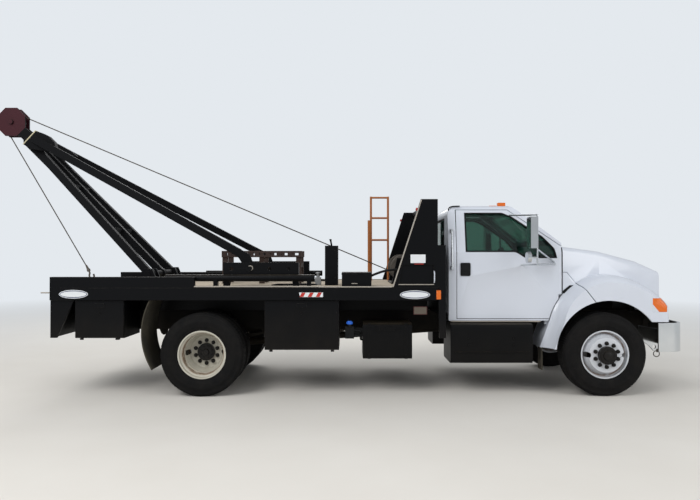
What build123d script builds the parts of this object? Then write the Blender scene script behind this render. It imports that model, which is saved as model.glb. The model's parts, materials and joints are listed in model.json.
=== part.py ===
from build123d import *
import math
import os

# Rig up truck: a bonneted two axle chassis cab with an oilfield winch bed. A mast of two legs
# stands at the tail and leans back over it, held by two long struts that run to the deck.
# Millimetres. +X points forward, +Y to the left side, +Z up, and the tyres stand on Z = 0.
# The origin lies on the ground below the middle of the truck's overall box.

# Running gear
WHEELBASE = 4928
REAR_AXLE_X = -1404
FRONT_AXLE_X = REAR_AXLE_X + WHEELBASE
TYRE_RADIUS = 511
TYRE_WIDTH = 279
RIM_SEAT_RADIUS = 287
RIM_FLANGE_RADIUS = 303
RIM_HALF_WIDTH = 118
RIM_WALL = 11
DISC_OFFSET = 165
DISC_THICKNESS = 12
HUB_RADIUS = 108
HUB_STANDOUT = 48
STUD_CIRCLE_RADIUS = 142.9
STUD_HOLE_RADIUS = 17
STUD_COUNT = 10
HAND_HOLE_RADIUS = 34
FRONT_WHEEL_Y = 1035
REAR_OUTER_Y = 1060
DUAL_SPACING = 2 * DISC_OFFSET
KINGPIN_Y = 900
KINGPIN_RADIUS = 22
SPINDLE_RADIUS = 40
BRAKE_DRUM_RADIUS = 208
RUNNING_CLEARANCE = 0.3

# Frame under the cab and the bed
RAIL_OUTER_Y = 432
RAIL_FLANGE = 75
RAIL_WALL = 10
RAIL_BOTTOM = TYRE_RADIUS + 229
RAIL_TOP = RAIL_BOTTOM + 250
FRAME_REAR_X = REAR_AXLE_X - 1746
FRAME_FRONT_X = FRONT_AXLE_X + 860
SPRING_Y = 395
SPRING_WIDTH = 80
FRONT_BEAM_TOP = TYRE_RADIUS - 49
FRONT_BEAM_BOTTOM = FRONT_BEAM_TOP - 90

# Cab
CAB_HALF_WIDTH = 990
CAB_LENGTH = 1417
CAB_HEIGHT = 1479
CAB_FRONT_X = FRONT_AXLE_X - 467
CAB_REAR_X = CAB_FRONT_X - CAB_LENGTH
CAB_BOTTOM = RAIL_TOP - 80
CAB_FLOOR_BOTTOM = RAIL_TOP + 10
CAB_FLOOR_TOP = CAB_FLOOR_BOTTOM + 40
CAB_BELT = CAB_BOTTOM + 851
CAB_ROOF = CAB_BOTTOM + CAB_HEIGHT
CAB_ROOF_EDGE = CAB_ROOF - 89
CAB_LEAN_IN = 112
CAB_WALL = 60
BESIDE_CAB_Y = CAB_HALF_WIDTH + 110
ROOF_SIDE_Y = CAB_HALF_WIDTH - 230
SEAT_Y = CAB_HALF_WIDTH - 560
ENGINE_REAR_X = CAB_FRONT_X + 90
COWL_Z = CAB_BELT + 119
WINDSHIELD_TOP_X = CAB_FRONT_X - 587
WINDSHIELD_TOP_Z = CAB_ROOF - 49
DOOR_GAP = 7
DOOR_REAR_X = CAB_REAR_X + 97
DOOR_BOTTOM = CAB_BOTTOM + 20
DOOR_TOP = CAB_ROOF - 83
DOOR_TOP_FRONT_X = CAB_FRONT_X - 657
DOOR_FRONT_TOP_Z = COWL_Z - 38
DOOR_AXIS_X = CAB_FRONT_X - 14
DOOR_AXIS_Y = CAB_HALF_WIDTH - 12
DOOR_HINGE_HEIGHTS = (CAB_BOTTOM + 360, CAB_BOTTOM + 750)
DOOR_PIN_RADIUS = 4
DOOR_POCKET_RADIUS = 9
DOOR_TIP_RADIUS = 34
GLASS_THICKNESS = 6
GLASS_CLEARANCE = 0.3

# Bonnet and front wings
NOSE_X = FRONT_AXLE_X + 916
ARCH_RADIUS = 648
ARCH_X = FRONT_AXLE_X + 45
ARCH_Z = TYRE_RADIUS + 13
ARCH_FOOT_Z = ARCH_Z + 53
WING_OUTER_Y = CAB_HALF_WIDTH + 195
WING_TOP_Z = CAB_BOTTOM + 579
WING_WALL = 26
HOOD_WALL = 30
HOOD_GAP = 10
HOOD_FOOT_Z = CAB_BOTTOM + 2
HOOD_PIVOT_X = NOSE_X - 10
HOOD_PIVOT_Z = RAIL_TOP - 110
HOOD_PIN_RADIUS = 14
HOOD_LUG_Y = RAIL_OUTER_Y + 40
GRILLE_HALF_WIDTH = 470
GRILLE_BOTTOM = HOOD_FOOT_Z + 108
GRILLE_TOP = COWL_Z - 430
BUMPER_FRONT_X = FRONT_AXLE_X + 1021
BUMPER_BOTTOM = RAIL_BOTTOM - 189
BUMPER_TOP = RAIL_BOTTOM + 159
BUMPER_HALF_WIDTH = WING_OUTER_Y + 5
TOW_BORE_RADIUS = 24

# Bed
BED_HALF_WIDTH = 1219
BED_REAR_X = REAR_AXLE_X - 1839
BED_FRONT_X = CAB_REAR_X - 167
DECK_TOP = RAIL_TOP + 350
DECK_THICKNESS = 10
CROSSMEMBER_COUNT = 13
SIDE_RAIL_BOTTOM = DECK_TOP - 161
SIDE_RAIL_WIDTH = 80
RACK_PANEL = 46
RAISED_RAIL_TOP = DECK_TOP + 122
RAISED_RAIL_FRONT_X = REAR_AXLE_X - 85
BED_FOOT_Z = SIDE_RAIL_BOTTOM - 459
FLAP_FOOT_Z = 325
HANGER_XS = (CAB_REAR_X - 1340, CAB_REAR_X - 140)

# Mast
LEG_FOOT_X = REAR_AXLE_X - 840
LEG_FOOT_Z = DECK_TOP + 140
HEAD_X = LEG_FOOT_X - 1747
HEAD_Z = LEG_FOOT_Z + 1802
LEG_FOOT_Y = 530
LEG_HEAD_Y = 215
BEAM_DEPTH = 98
BEAM_WIDTH = 90
FOOT_SHAFT_RADIUS = 40
HEAD_PIPE_RADIUS = 57
HEAD_PIPE_HALF_LENGTH = 410
STRUT_FOOT_X = REAR_AXLE_X + 560
STRUT_FOOT_Z = DECK_TOP + 218
STRUT_FOOT_Y = BED_HALF_WIDTH - 219
STRUT_HEAD_Y = 335
WINCH_X = BED_FRONT_X - 338
WINCH_Z = DECK_TOP + 220
BLOCK_X = HEAD_X - 352
BLOCK_Z = HEAD_Z + 316
BLOCK_FLATS = 394
CHEEK_THICKNESS = 24
CHEEK_OUTER_Y = 67
SHEAVE_RADIUS = 160


def box(x0, x1, y0, y1, z0, z1):
    """Block between two corners."""
    middle = Pos((x0 + x1) / 2, (y0 + y1) / 2, (z0 + z1) / 2)
    return middle * Box(x1 - x0, y1 - y0, z1 - z0)


def across_y(outline, y0, y1):
    """Prism whose outline is drawn in X and Z, from one Y plane to another."""
    return extrude(Plane.XZ.offset(-y0) * outline, amount=y1 - y0, dir=(0, 1, 0))


def along_x(outline, x0, x1):
    """Prism whose outline is drawn in Y and Z, from one X plane to another."""
    return extrude(Plane.YZ.offset(x0) * outline, amount=x1 - x0, dir=(1, 0, 0))


def upright(outline, z0, z1):
    """Prism whose outline is drawn in X and Y, from one Z plane to another."""
    return extrude(Plane.XY.offset(z0) * outline, amount=z1 - z0, dir=(0, 0, 1))


def shape(*points):
    """Face inside a closed polygon."""
    return make_face(Polyline(*points, close=True))


def pin_y(x, y0, y1, z, radius):
    """Round bar across the truck."""
    return Pos(x, (y0 + y1) / 2, z) * Rot(90, 0, 0) * Cylinder(radius, abs(y1 - y0))


def pin_x(x0, x1, y, z, radius):
    """Round bar along the truck."""
    return Pos((x0 + x1) / 2, y, z) * Rot(0, 90, 0) * Cylinder(radius, abs(x1 - x0))


def pin_z(x, y, z0, z1, radius):
    """Upright round bar."""
    return Pos(x, y, (z0 + z1) / 2) * Cylinder(radius, abs(z1 - z0))


def bar(start, end, section, x_dir=(0, 1, 0)):
    """Straight bar of a given section between two points."""
    run = Vector(*end) - Vector(*start)
    side = Vector(*x_dir)
    side = side - run * (side.dot(run) / run.dot(run))
    plane = Plane(origin=start, x_dir=side, z_dir=run)
    return extrude(plane * section, amount=run.length)


def mirrored(solid):
    """The same piece on the other side of the truck."""
    return solid.mirror(Plane.XZ)


def both(solid):
    """A piece and its mirror image, as separate solids."""
    return [solid, mirrored(solid)]


def fused(pieces):
    """One shape from pieces that overlap."""
    whole = pieces[0]
    for piece in pieces[1:]:
        whole = whole + piece
    return whole


def cut(whole, tools):
    """A piece less every tool in turn."""
    for tool in tools:
        whole = whole - tool
    return whole


# Wheels and tyres are turned about the Y axis. Their outlines are radius and distance
# outboard of the wheel's middle.

def tyre_ring():
    """Tyre from bead to tread, square shouldered with round side walls."""
    half = TYRE_WIDTH / 2
    bead = (RIM_SEAT_RADIUS + RUNNING_CLEARANCE, RIM_HALF_WIDTH - 15.5)
    upper = [bead, (400, half), (TYRE_RADIUS - 22, half - 15), (TYRE_RADIUS, half - 40)]
    lower = [(radius, -y) for radius, y in reversed(upper)]
    return revolve(shape(*upper, *lower), Axis.Y)


def rim_ring():
    """Rolled steel rim with its drop well."""
    seat = RIM_SEAT_RADIUS
    edge = RIM_HALF_WIDTH
    wall = RIM_WALL
    well = seat - 25
    outer = [
        (RIM_FLANGE_RADIUS, -edge), (RIM_FLANGE_RADIUS, -edge + 9), (seat, -edge + 15),
        (seat, -66), (well, -48), (well, 48), (seat, 66),
        (seat, edge - 15), (RIM_FLANGE_RADIUS, edge - 9), (RIM_FLANGE_RADIUS, edge),
    ]
    inner = [
        (seat - wall + 3, edge - 2), (seat - wall, 68), (well - wall, 52),
        (well - wall, -52), (seat - wall, -68), (seat - wall + 3, -edge + 2),
    ]
    return revolve(shape(*outer, *inner), Axis.Y)


def disc_plate():
    """Pressed disc: a cone from the rim's well out to the flat that bolts to the hub."""
    back = DISC_OFFSET - DISC_THICKNESS
    outline = shape(
        (253, 20), (253, 48), (212, DISC_OFFSET), (HUB_RADIUS + 1, DISC_OFFSET),
        (HUB_RADIUS + 1, back), (200, back), (236, 44), (236, 20),
    )
    disc = revolve(outline, Axis.Y)
    holes = []
    for index in range(STUD_COUNT):
        angle = math.radians(360 * (index + 0.5) / STUD_COUNT)
        x = STUD_CIRCLE_RADIUS * math.cos(angle)
        z = STUD_CIRCLE_RADIUS * math.sin(angle)
        holes.append(pin_y(x, back - 5, DISC_OFFSET + 5, z, STUD_HOLE_RADIUS))
    for side in (-1, 1):
        holes.append(pin_y(side * 222, 30, DISC_OFFSET + 5, 0, HAND_HOLE_RADIUS))
    return cut(disc, holes)


def front_wheel():
    """Rim, disc, hub and brake drum of a steered wheel, outboard towards +Y."""
    back = DISC_OFFSET - DISC_THICKNESS
    face = DISC_OFFSET + HUB_STANDOUT
    hub = fused([
        pin_y(0, -35, 88, 0, BRAKE_DRUM_RADIUS),
        pin_y(0, 80, back, 0, HUB_RADIUS),
        pin_y(0, back - 14, back, 0, 168),
        pin_y(0, back, face, 0, HUB_RADIUS),
    ])
    hub = hub - pin_y(0, -40, DISC_OFFSET, 0, SPINDLE_RADIUS + RUNNING_CLEARANCE)
    return fused([rim_ring(), disc_plate(), hub])


def dual_wheel():
    """Two rims bolted back to back on one hub, with the bolting face at Y = 0."""
    inner = Pos(0, -DISC_OFFSET, 0) * (rim_ring() + disc_plate())
    outer = Pos(0, DISC_OFFSET, 0) * (rim_ring() + disc_plate()).mirror(Plane.XZ)
    hub = fused([
        pin_y(0, -255, -95, 0, BRAKE_DRUM_RADIUS - 4),
        pin_y(0, -105, HUB_STANDOUT, 0, HUB_RADIUS),
        pin_y(0, -DISC_THICKNESS - 16, -DISC_THICKNESS, 0, 168),
    ])
    hub = hub - pin_y(0, -260, 0, 0, SPINDLE_RADIUS + 10 + RUNNING_CLEARANCE)
    return fused([inner, outer, hub])


def place_wheel(solid, x, y, side):
    """Stand a wheel at its axle; side is +1 on the left and -1 on the right."""
    turned = solid if side > 0 else solid.mirror(Plane.XZ)
    return Pos(x, side * y, TYRE_RADIUS) * turned


# Axles, springs and steering

def front_axle():
    """Dropped I beam with an eye for the kingpin at each end."""
    eye_bottom = TYRE_RADIUS - 45
    eye_top = TYRE_RADIUS + 35
    outline = shape(
        (-KINGPIN_Y, eye_top), (-KINGPIN_Y + 80, eye_top),
        (-640, FRONT_BEAM_TOP), (640, FRONT_BEAM_TOP),
        (KINGPIN_Y - 80, eye_top), (KINGPIN_Y, eye_top), (KINGPIN_Y, eye_bottom),
        (KINGPIN_Y - 70, eye_bottom), (660, FRONT_BEAM_BOTTOM), (-660, FRONT_BEAM_BOTTOM),
        (-KINGPIN_Y + 70, eye_bottom), (-KINGPIN_Y, eye_bottom),
    )
    beam = along_x(outline, -42, 42)
    groove = shape(
        (-KINGPIN_Y + 110, eye_top - 25), (-635, FRONT_BEAM_TOP - 18), (635, FRONT_BEAM_TOP - 18),
        (KINGPIN_Y - 110, eye_top - 25), (KINGPIN_Y - 110, eye_bottom + 20),
        (655, FRONT_BEAM_BOTTOM + 18), (-655, FRONT_BEAM_BOTTOM + 18),
        (-KINGPIN_Y + 110, eye_bottom + 20),
    )
    beam = cut(beam, [along_x(groove, -50, -12), along_x(groove, 12, 50)])
    for side in (-1, 1):
        beam = beam + pin_z(0, side * KINGPIN_Y, eye_bottom, eye_top, 46)
        beam = beam - pin_z(
            0, side * KINGPIN_Y, eye_bottom - 5, eye_top + 5, KINGPIN_RADIUS + RUNNING_CLEARANCE)
    return Pos(FRONT_AXLE_X, 0, 0) * beam


def knuckle():
    """Right steering knuckle: two ears on the kingpin, the spindle and the steering arm."""
    low = TYRE_RADIUS - 82
    high = TYRE_RADIUS + 74
    gap = 5
    ear_low_top = TYRE_RADIUS - 45 - gap
    ear_high_bottom = TYRE_RADIUS + 35 + gap
    y = -KINGPIN_Y
    pieces = [pin_z(0, y, low, high, KINGPIN_RADIUS)]
    for z0, z1 in ((low, ear_low_top), (ear_high_bottom, high)):
        pieces.append(pin_z(0, y, z0, z1, 44))
        pieces.append(box(-44, 44, y - 84, y, z0, z1))
    pieces.append(box(-50, 50, y - 84, y - 54, low, high))
    pieces.append(pin_y(0, -FRONT_WHEEL_Y - DISC_OFFSET + 40, y - 70, TYRE_RADIUS, SPINDLE_RADIUS))
    pieces.append(pin_y(0, y - 92, y - 80, TYRE_RADIUS, BRAKE_DRUM_RADIUS - 6))
    arm = upright(shape((30, y + 20), (30, y - 34), (-225, y + 14), (-225, y + 58)), low, low + 26)
    pieces.append(arm)
    return Pos(FRONT_AXLE_X, 0, 0) * fused(pieces)


def tie_rod():
    """Rod between the steering arms, behind and below the axle."""
    low = TYRE_RADIUS - 82
    end_y = KINGPIN_Y - 36
    z = low - 34
    rod = pin_y(FRONT_AXLE_X - 200, -end_y, end_y, z, 18)
    for side in (-1, 1):
        rod = rod + pin_z(FRONT_AXLE_X - 200, side * end_y, z - 24, low - RUNNING_CLEARANCE, 22)
    return rod


def leaf_spring(x, seat_z, half_length, thickness):
    """Leaf pack with its two eyes and the hangers up to the frame."""
    ends = seat_z + 105
    lower = ThreePointArc((-half_length, ends), (0, seat_z), (half_length, ends))
    upper = ThreePointArc(
        (half_length, ends + 16), (0, seat_z + thickness), (-half_length, ends + 16))
    face = make_face(Wire([
        lower, Line((half_length, ends), (half_length, ends + 16)),
        upper, Line((-half_length, ends + 16), (-half_length, ends)),
    ]))
    spring = Pos(x, 0, 0) * across_y(face, -SPRING_Y - SPRING_WIDTH / 2, -SPRING_Y + SPRING_WIDTH / 2)
    for end in (-1, 1):
        eye_x = x + end * half_length
        spring = spring + pin_y(
            eye_x, -SPRING_Y - SPRING_WIDTH / 2, -SPRING_Y + SPRING_WIDTH / 2, ends + 8, 32)
        hanger = across_y(
            shape((eye_x - 36, ends - 6), (eye_x + 36, ends - 6),
                  (eye_x + 60, RAIL_BOTTOM), (eye_x - 60, RAIL_BOTTOM)),
            -RAIL_OUTER_Y, -SPRING_Y - SPRING_WIDTH / 2 + 8)
        spring = spring + hanger
    return spring


def leaf_springs():
    """Four springs, each a solid of its own under its frame rail."""
    front = leaf_spring(FRONT_AXLE_X, FRONT_BEAM_TOP, 640, 62)
    rear = leaf_spring(REAR_AXLE_X, TYRE_RADIUS + 72, 680, 74)
    return both(front) + both(rear)


def rear_axle():
    """Axle housing with its differential bowl, spindles and spring pads."""
    mount_y = REAR_OUTER_Y - DISC_OFFSET
    z = TYRE_RADIUS
    bowl = revolve(
        shape((0, -150), (120, -150), (188, -75), (205, 0), (188, 75), (120, 150), (0, 150)), Axis.Y)
    nose = Pos(188, 0, 0) * Rot(0, 90, 0) * Cone(120, 62, 240)
    pieces = [
        Pos(0, 0, z) * (bowl + nose),
        pin_y(0, -mount_y + 262, mount_y - 262, z, 62),
        pin_y(0, -mount_y + 30, mount_y - 30, z, SPINDLE_RADIUS + 10),
    ]
    for side in (-1, 1):
        backing_y = side * (mount_y - 272)
        pieces.append(pin_y(0, backing_y - 8, backing_y + 8, z, BRAKE_DRUM_RADIUS - 6))
        pieces.append(box(-70, 70, side * SPRING_Y - 44, side * SPRING_Y + 44, z + 40, z + 72))
    return Pos(REAR_AXLE_X, 0, 0) * fused(pieces)


# Frame, engine and exhaust

def frame_rails():
    """Two channel rails that face each other, with cab mounts and the hood's hinge brackets."""
    web = box(FRAME_REAR_X, FRAME_FRONT_X, -RAIL_OUTER_Y, -RAIL_OUTER_Y + RAIL_FLANGE,
              RAIL_BOTTOM, RAIL_TOP)
    hollow = box(FRAME_REAR_X - 1, FRAME_FRONT_X + 1, -RAIL_OUTER_Y + RAIL_WALL,
                 -RAIL_OUTER_Y + RAIL_FLANGE + 1, RAIL_BOTTOM + RAIL_WALL, RAIL_TOP - RAIL_WALL)
    rail = web - hollow
    for x in (CAB_REAR_X + 260, CAB_FRONT_X - 180):
        top = CAB_FLOOR_BOTTOM - RUNNING_CLEARANCE
        rail = rail + pin_z(x, -SPRING_Y, RAIL_TOP - 2, top, 34)
    y0 = -RAIL_OUTER_Y - 18
    y1 = -RAIL_OUTER_Y + 2
    bracket = across_y(
        shape((FRAME_FRONT_X - 70, HOOD_PIVOT_Z + 20), (HOOD_PIVOT_X, HOOD_PIVOT_Z + 24),
              (HOOD_PIVOT_X + 24, HOOD_PIVOT_Z), (HOOD_PIVOT_X, HOOD_PIVOT_Z - 24),
              (FRAME_FRONT_X - 70, HOOD_PIVOT_Z - 90)), y0, y1)
    bore = pin_y(HOOD_PIVOT_X, y0 - 5, y1 + 5, HOOD_PIVOT_Z, HOOD_PIN_RADIUS + RUNNING_CLEARANCE)
    return both(rail + (bracket - bore))


def frame_crossmembers():
    """Box crossmembers between the rails' webs."""
    # columns: middle X, height of the underside and of the top above the rails' underside
    rows = [
        (FRAME_REAR_X + 60, 40, 220), (REAR_AXLE_X - 760, 60, 220), (REAR_AXLE_X + 760, 60, 220),
        (HANGER_XS[0], 80, 220), (HANGER_XS[1], 80, 220), (FRAME_FRONT_X - 150, 20, 100),
    ]
    half = RAIL_OUTER_Y - RAIL_WALL
    return [box(x - 40, x + 40, -half, half, RAIL_BOTTOM + low, RAIL_BOTTOM + high)
            for x, low, high in rows]


def powertrain():
    """Engine block with its mounts, gearbox with the drive shaft, and radiator."""
    low = RAIL_BOTTOM
    rear = ENGINE_REAR_X
    mount_half = RAIL_OUTER_Y - RAIL_WALL
    engine = fused([
        box(rear, rear + 830, -290, 290, low + 20, low + 650),
        box(rear + 120, rear + 760, -150, 150, low - 140, low + 30),
        box(rear + 300, rear + 400, -mount_half, mount_half, low + 60, low + 110),
    ])
    shaft_end = (REAR_AXLE_X + 323, 0, TYRE_RADIUS)
    drive = fused([
        pin_x(rear - 330, rear, 0, low + 45, 195),
        pin_x(rear - 1020, rear - 310, 0, low + 20, 150),
        bar((rear - 1010, 0, low), shaft_end, Circle(48)),
    ])
    radiator_x = FRONT_AXLE_X + 640
    radiator = box(radiator_x, radiator_x + 100, -330, 330, low + 105, low + 640)
    foot = box(radiator_x + 10, radiator_x + 90, -270, 270, low + 100, low + 110)
    return [engine, drive, radiator + foot]


def exhaust():
    """Pipe from the engine, the muffler, and the tail pipe that turns out to the left side."""
    y = 250
    high = RAIL_BOTTOM - 50
    low = RAIL_BOTTOM - 140
    rear = CAB_REAR_X - 1290
    front = CAB_REAR_X - 390
    pipe = pin_x(rear, front, y, high, 105)
    pipe = pipe + bar((front - 10, y, high), (ENGINE_REAR_X + 200, y, high), Circle(42))
    outlet_x = REAR_AXLE_X + TYRE_RADIUS + 127
    tail = FilletPolyline(
        (rear + 10, y, high), (rear - 250, y, low), (outlet_x, y, low),
        (outlet_x, BED_HALF_WIDTH - 99, low), radius=110)
    pipe = pipe + sweep(Plane(origin=tail @ 0, z_dir=tail % 0) * Circle(42), path=tail)
    for x, z in zip(HANGER_XS, (low + 60, high + 30)):
        pipe = pipe + box(x - 15, x + 15, y - 10, y + 10, z, RAIL_BOTTOM + 80)
    return pipe


# Cab

def cab_section(inset):
    """Cross section of the cab in Y and Z, drawn smaller by the inset on every side."""
    side = CAB_HALF_WIDTH - inset
    eave = CAB_HALF_WIDTH - CAB_LEAN_IN - inset
    roof_y = ROOF_SIDE_Y - inset / 2
    roof_edge = CAB_ROOF_EDGE - inset * 0.3
    roof_side = CAB_ROOF - 32 - inset
    roof = CAB_ROOF - inset
    edges = [
        Line((side, CAB_BOTTOM - 200), (side, CAB_BELT)),
        Line((side, CAB_BELT), (eave, roof_edge - 20)),
        ThreePointArc((eave, roof_edge - 20), (eave - 36, roof_edge + 34 - inset * 0.6),
                      (roof_y, roof_side)),
        ThreePointArc((roof_y, roof_side), (0, roof), (-roof_y, roof_side)),
        ThreePointArc((-roof_y, roof_side), (-eave + 36, roof_edge + 34 - inset * 0.6),
                      (-eave, roof_edge - 20)),
        Line((-eave, roof_edge - 20), (-side, CAB_BELT)),
        Line((-side, CAB_BELT), (-side, CAB_BOTTOM - 200)),
        Line((-side, CAB_BOTTOM - 200), (side, CAB_BOTTOM - 200)),
    ]
    return make_face(Wire(edges))


def cab_side(inset, bottom):
    """Side outline of the cab in X and Z, drawn smaller by the inset."""
    slope = (WINDSHIELD_TOP_Z - COWL_Z) / (CAB_FRONT_X - WINDSHIELD_TOP_X)
    drop = inset * math.sqrt(1 + slope * slope)
    roof = CAB_ROOF - inset
    rear = CAB_REAR_X + inset
    front = CAB_FRONT_X - inset
    cowl = COWL_Z - drop + slope * inset
    bend_z = CAB_ROOF - 189
    visor_x = CAB_FRONT_X - 817
    top_x = WINDSHIELD_TOP_X - inset * 0.6
    top_z = WINDSHIELD_TOP_Z - drop + slope * inset * 0.6
    edges = [
        Line((rear, bottom), (rear, bend_z)),
        ThreePointArc((rear, bend_z), (rear + 42, roof - 62), (rear + 150, roof - 8)),
        Line((rear + 150, roof - 8), (visor_x, roof + 2)),
        ThreePointArc((visor_x, roof + 2), (visor_x + 120, roof - 12), (top_x, top_z)),
        Line((top_x, top_z), (front, cowl)),
        Line((front, cowl), (front, bottom)),
        Line((front, bottom), (rear, bottom)),
    ]
    return make_face(Wire(edges))


def door_outline(gap):
    """Outline of the door opening, drawn smaller by the gap on every side."""
    return shape(
        (DOOR_REAR_X + gap, DOOR_BOTTOM + gap), (DOOR_REAR_X + gap, DOOR_TOP - gap),
        (DOOR_TOP_FRONT_X - gap * 0.3, DOOR_TOP - gap),
        (CAB_FRONT_X - gap, DOOR_FRONT_TOP_Z - gap * 0.6), (CAB_FRONT_X - gap, DOOR_BOTTOM + gap),
    )


def window_outline(grow):
    """Outline of the side window, larger all round by grow."""
    rear = DOOR_REAR_X + 115
    front = CAB_FRONT_X
    sill = CAB_BELT + 5
    low = CAB_BELT - 71
    top = DOOR_TOP - 39
    outline = shape(
        (rear, sill), (rear, top), (front - 727, top), (front - 605, top - 52),
        (front - 229, CAB_BELT + 201), (front - 92, CAB_BELT + 54), (front - 59, low),
        (front - 457, low), (front - 577, sill),
    )
    return offset(outline, amount=grow, kind=Kind.INTERSECTION) if grow else outline


def cab_block():
    """Solid outer form of the cab."""
    outer = along_x(cab_section(0), CAB_REAR_X - 10, CAB_FRONT_X + 10)
    return outer & across_y(cab_side(0, CAB_BOTTOM), -BESIDE_CAB_Y, BESIDE_CAB_Y)


def cab_shell():
    """Cab body: roof, pillars, back wall, floor and firewall, open at the doors and windows."""
    outer = cab_block()
    inner = along_x(cab_section(CAB_WALL), CAB_REAR_X, CAB_FRONT_X)
    inner = inner & across_y(cab_side(CAB_WALL, CAB_FLOOR_TOP), -BESIDE_CAB_Y, BESIDE_CAB_Y)
    shell = outer - inner
    floor_half = CAB_HALF_WIDTH - 90
    recess = box(CAB_REAR_X - 20, CAB_FRONT_X + 20, -floor_half, floor_half, CAB_BOTTOM - 20,
                 CAB_FLOOR_BOTTOM)
    shell = shell - recess
    core = along_x(cab_section(CAB_WALL + DOOR_GAP), CAB_REAR_X - 20, CAB_FRONT_X + 20)
    opening = across_y(door_outline(0), -BESIDE_CAB_Y, BESIDE_CAB_Y)
    opening = opening + box(CAB_FRONT_X - 40, CAB_FRONT_X + 30, -BESIDE_CAB_Y, BESIDE_CAB_Y,
                            DOOR_BOTTOM, DOOR_FRONT_TOP_Z - 30)
    shell = shell - (opening - core)
    inner_half = CAB_HALF_WIDTH - CAB_WALL - DOOR_GAP
    corner = across_y(wing_outline(-10, -12, NOSE_X), -BESIDE_CAB_Y, -inner_half)
    rear_opening = rear_window(CAB_REAR_X - 20, CAB_REAR_X + CAB_WALL + 20, 0)
    shell = cut(shell, [windshield(0), rear_opening, corner, mirrored(corner)])
    for z in DOOR_HINGE_HEIGHTS:
        arm = box(DOOR_AXIS_X - 5, DOOR_AXIS_X + 5, -DOOR_AXIS_Y, -inner_half + 5, z - 14, z + 14)
        arm = arm + pin_z(DOOR_AXIS_X, -DOOR_AXIS_Y, z - 14, z + 14, DOOR_PIN_RADIUS + 2.5)
        arm = arm - pin_z(DOOR_AXIS_X, -DOOR_AXIS_Y, z - 20, z + 20,
                          DOOR_PIN_RADIUS + RUNNING_CLEARANCE)
        shell = shell + arm + mirrored(arm)
    return shell


def windshield(gap):
    """Space of the windshield seen from ahead, drawn smaller by the gap."""
    low_half = CAB_HALF_WIDTH - 190 - gap
    high_half = CAB_HALF_WIDTH - 255 - gap
    low = COWL_Z + 35 + gap
    high = WINDSHIELD_TOP_Z - 57 - gap
    outline = shape((-low_half, low), (low_half, low), (high_half, high), (-high_half, high))
    return along_x(outline, WINDSHIELD_TOP_X - 240, CAB_FRONT_X + 20)


def rear_window(x0, x1, gap):
    """Space of the rear window between two X planes, drawn smaller by the gap."""
    half = CAB_HALF_WIDTH - 370 - gap
    return box(x0, x1, -half, half, CAB_BELT + 39 + gap, CAB_ROOF - 179 - gap)


def cab_glass():
    """Windshield and rear window, set in the middle of their walls."""
    slope = (WINDSHIELD_TOP_Z - COWL_Z) / (CAB_FRONT_X - WINDSHIELD_TOP_X)
    slant = math.sqrt(1 + slope * slope)
    low = CAB_FRONT_X
    middle = COWL_Z - 0.45 * CAB_WALL * slant
    top_x = WINDSHIELD_TOP_X - 80
    top = middle + slope * (low - top_x)
    half = GLASS_THICKNESS * slant / 2
    pane = across_y(
        shape((low, middle - half), (low, middle + half), (top_x, top + half), (top_x, top - half)),
        -BESIDE_CAB_Y, BESIDE_CAB_Y)
    rear_x = CAB_REAR_X + 0.4 * CAB_WALL
    rear = rear_window(rear_x, rear_x + GLASS_THICKNESS, GLASS_CLEARANCE)
    return [pane & windshield(GLASS_CLEARANCE), rear]


def side_layer(outside, inside):
    """Layer of the cab's right wall between two insets, over the whole cab's length."""
    skin = along_x(cab_section(outside), CAB_REAR_X - 20, CAB_FRONT_X + 20)
    skin = skin - along_x(cab_section(inside), CAB_REAR_X - 30, CAB_FRONT_X + 30)
    return skin & box(CAB_REAR_X - 40, CAB_FRONT_X + 40, -BESIDE_CAB_Y, -ROOF_SIDE_Y,
                      CAB_BOTTOM - 100, CAB_ROOF_EDGE + 50)


def door():
    """Right door: a slab as thick as the cab wall, with its window cut."""
    slab = side_layer(0, CAB_WALL) & across_y(door_outline(DOOR_GAP), -BESIDE_CAB_Y, -SEAT_Y)
    slab = slab - across_y(window_outline(0), -BESIDE_CAB_Y, -SEAT_Y)
    # Nothing on the door lies further from its hinge than the rear edge's skin.
    reach = DOOR_AXIS_X - DOOR_REAR_X - DOOR_GAP
    swing = pin_z(DOOR_AXIS_X, -DOOR_AXIS_Y, CAB_BOTTOM - 50, CAB_ROOF, reach)
    slab = slab & swing
    slab = slab - across_y(wing_outline(-10, -12, NOSE_X), -BESIDE_CAB_Y, -SEAT_Y)
    # The pointed corner by the wing is blunt, so that it turns clear of the wing's flare.
    slab = slab - pin_z(DOOR_AXIS_X, -DOOR_AXIS_Y, CAB_BOTTOM, CAB_BOTTOM + 328, DOOR_TIP_RADIUS)
    r = DOOR_POCKET_RADIUS
    for z in DOOR_HINGE_HEIGHTS:
        pocket = box(DOOR_AXIS_X - r, CAB_FRONT_X + 20, -DOOR_AXIS_Y - r, -CAB_HALF_WIDTH + 90,
                     z - 17, z + 17)
        slab = slab - pocket + pin_z(DOOR_AXIS_X, -DOOR_AXIS_Y, z - 28, z + 28, DOOR_PIN_RADIUS)
    handle = across_y(
        RectangleRounded(138, 172, 22).moved(Pos(DOOR_REAR_X + 111, CAB_BELT - 213)),
        -CAB_HALF_WIDTH - 6, -CAB_HALF_WIDTH + 2)
    return slab + handle


def window_frame_spaces():
    """Spaces of the window frame's welded members above the door's sill, from the rear post on."""
    front = CAB_FRONT_X
    seams = (CAB_REAR_X, DOOR_REAR_X + 115, front - 727, front - 605, front - 229, front)
    return [box(x0, x1, -BESIDE_CAB_Y, -SEAT_Y, CAB_BELT + 5, CAB_ROOF)
            for x0, x1 in zip(seams, seams[1:])]


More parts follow.
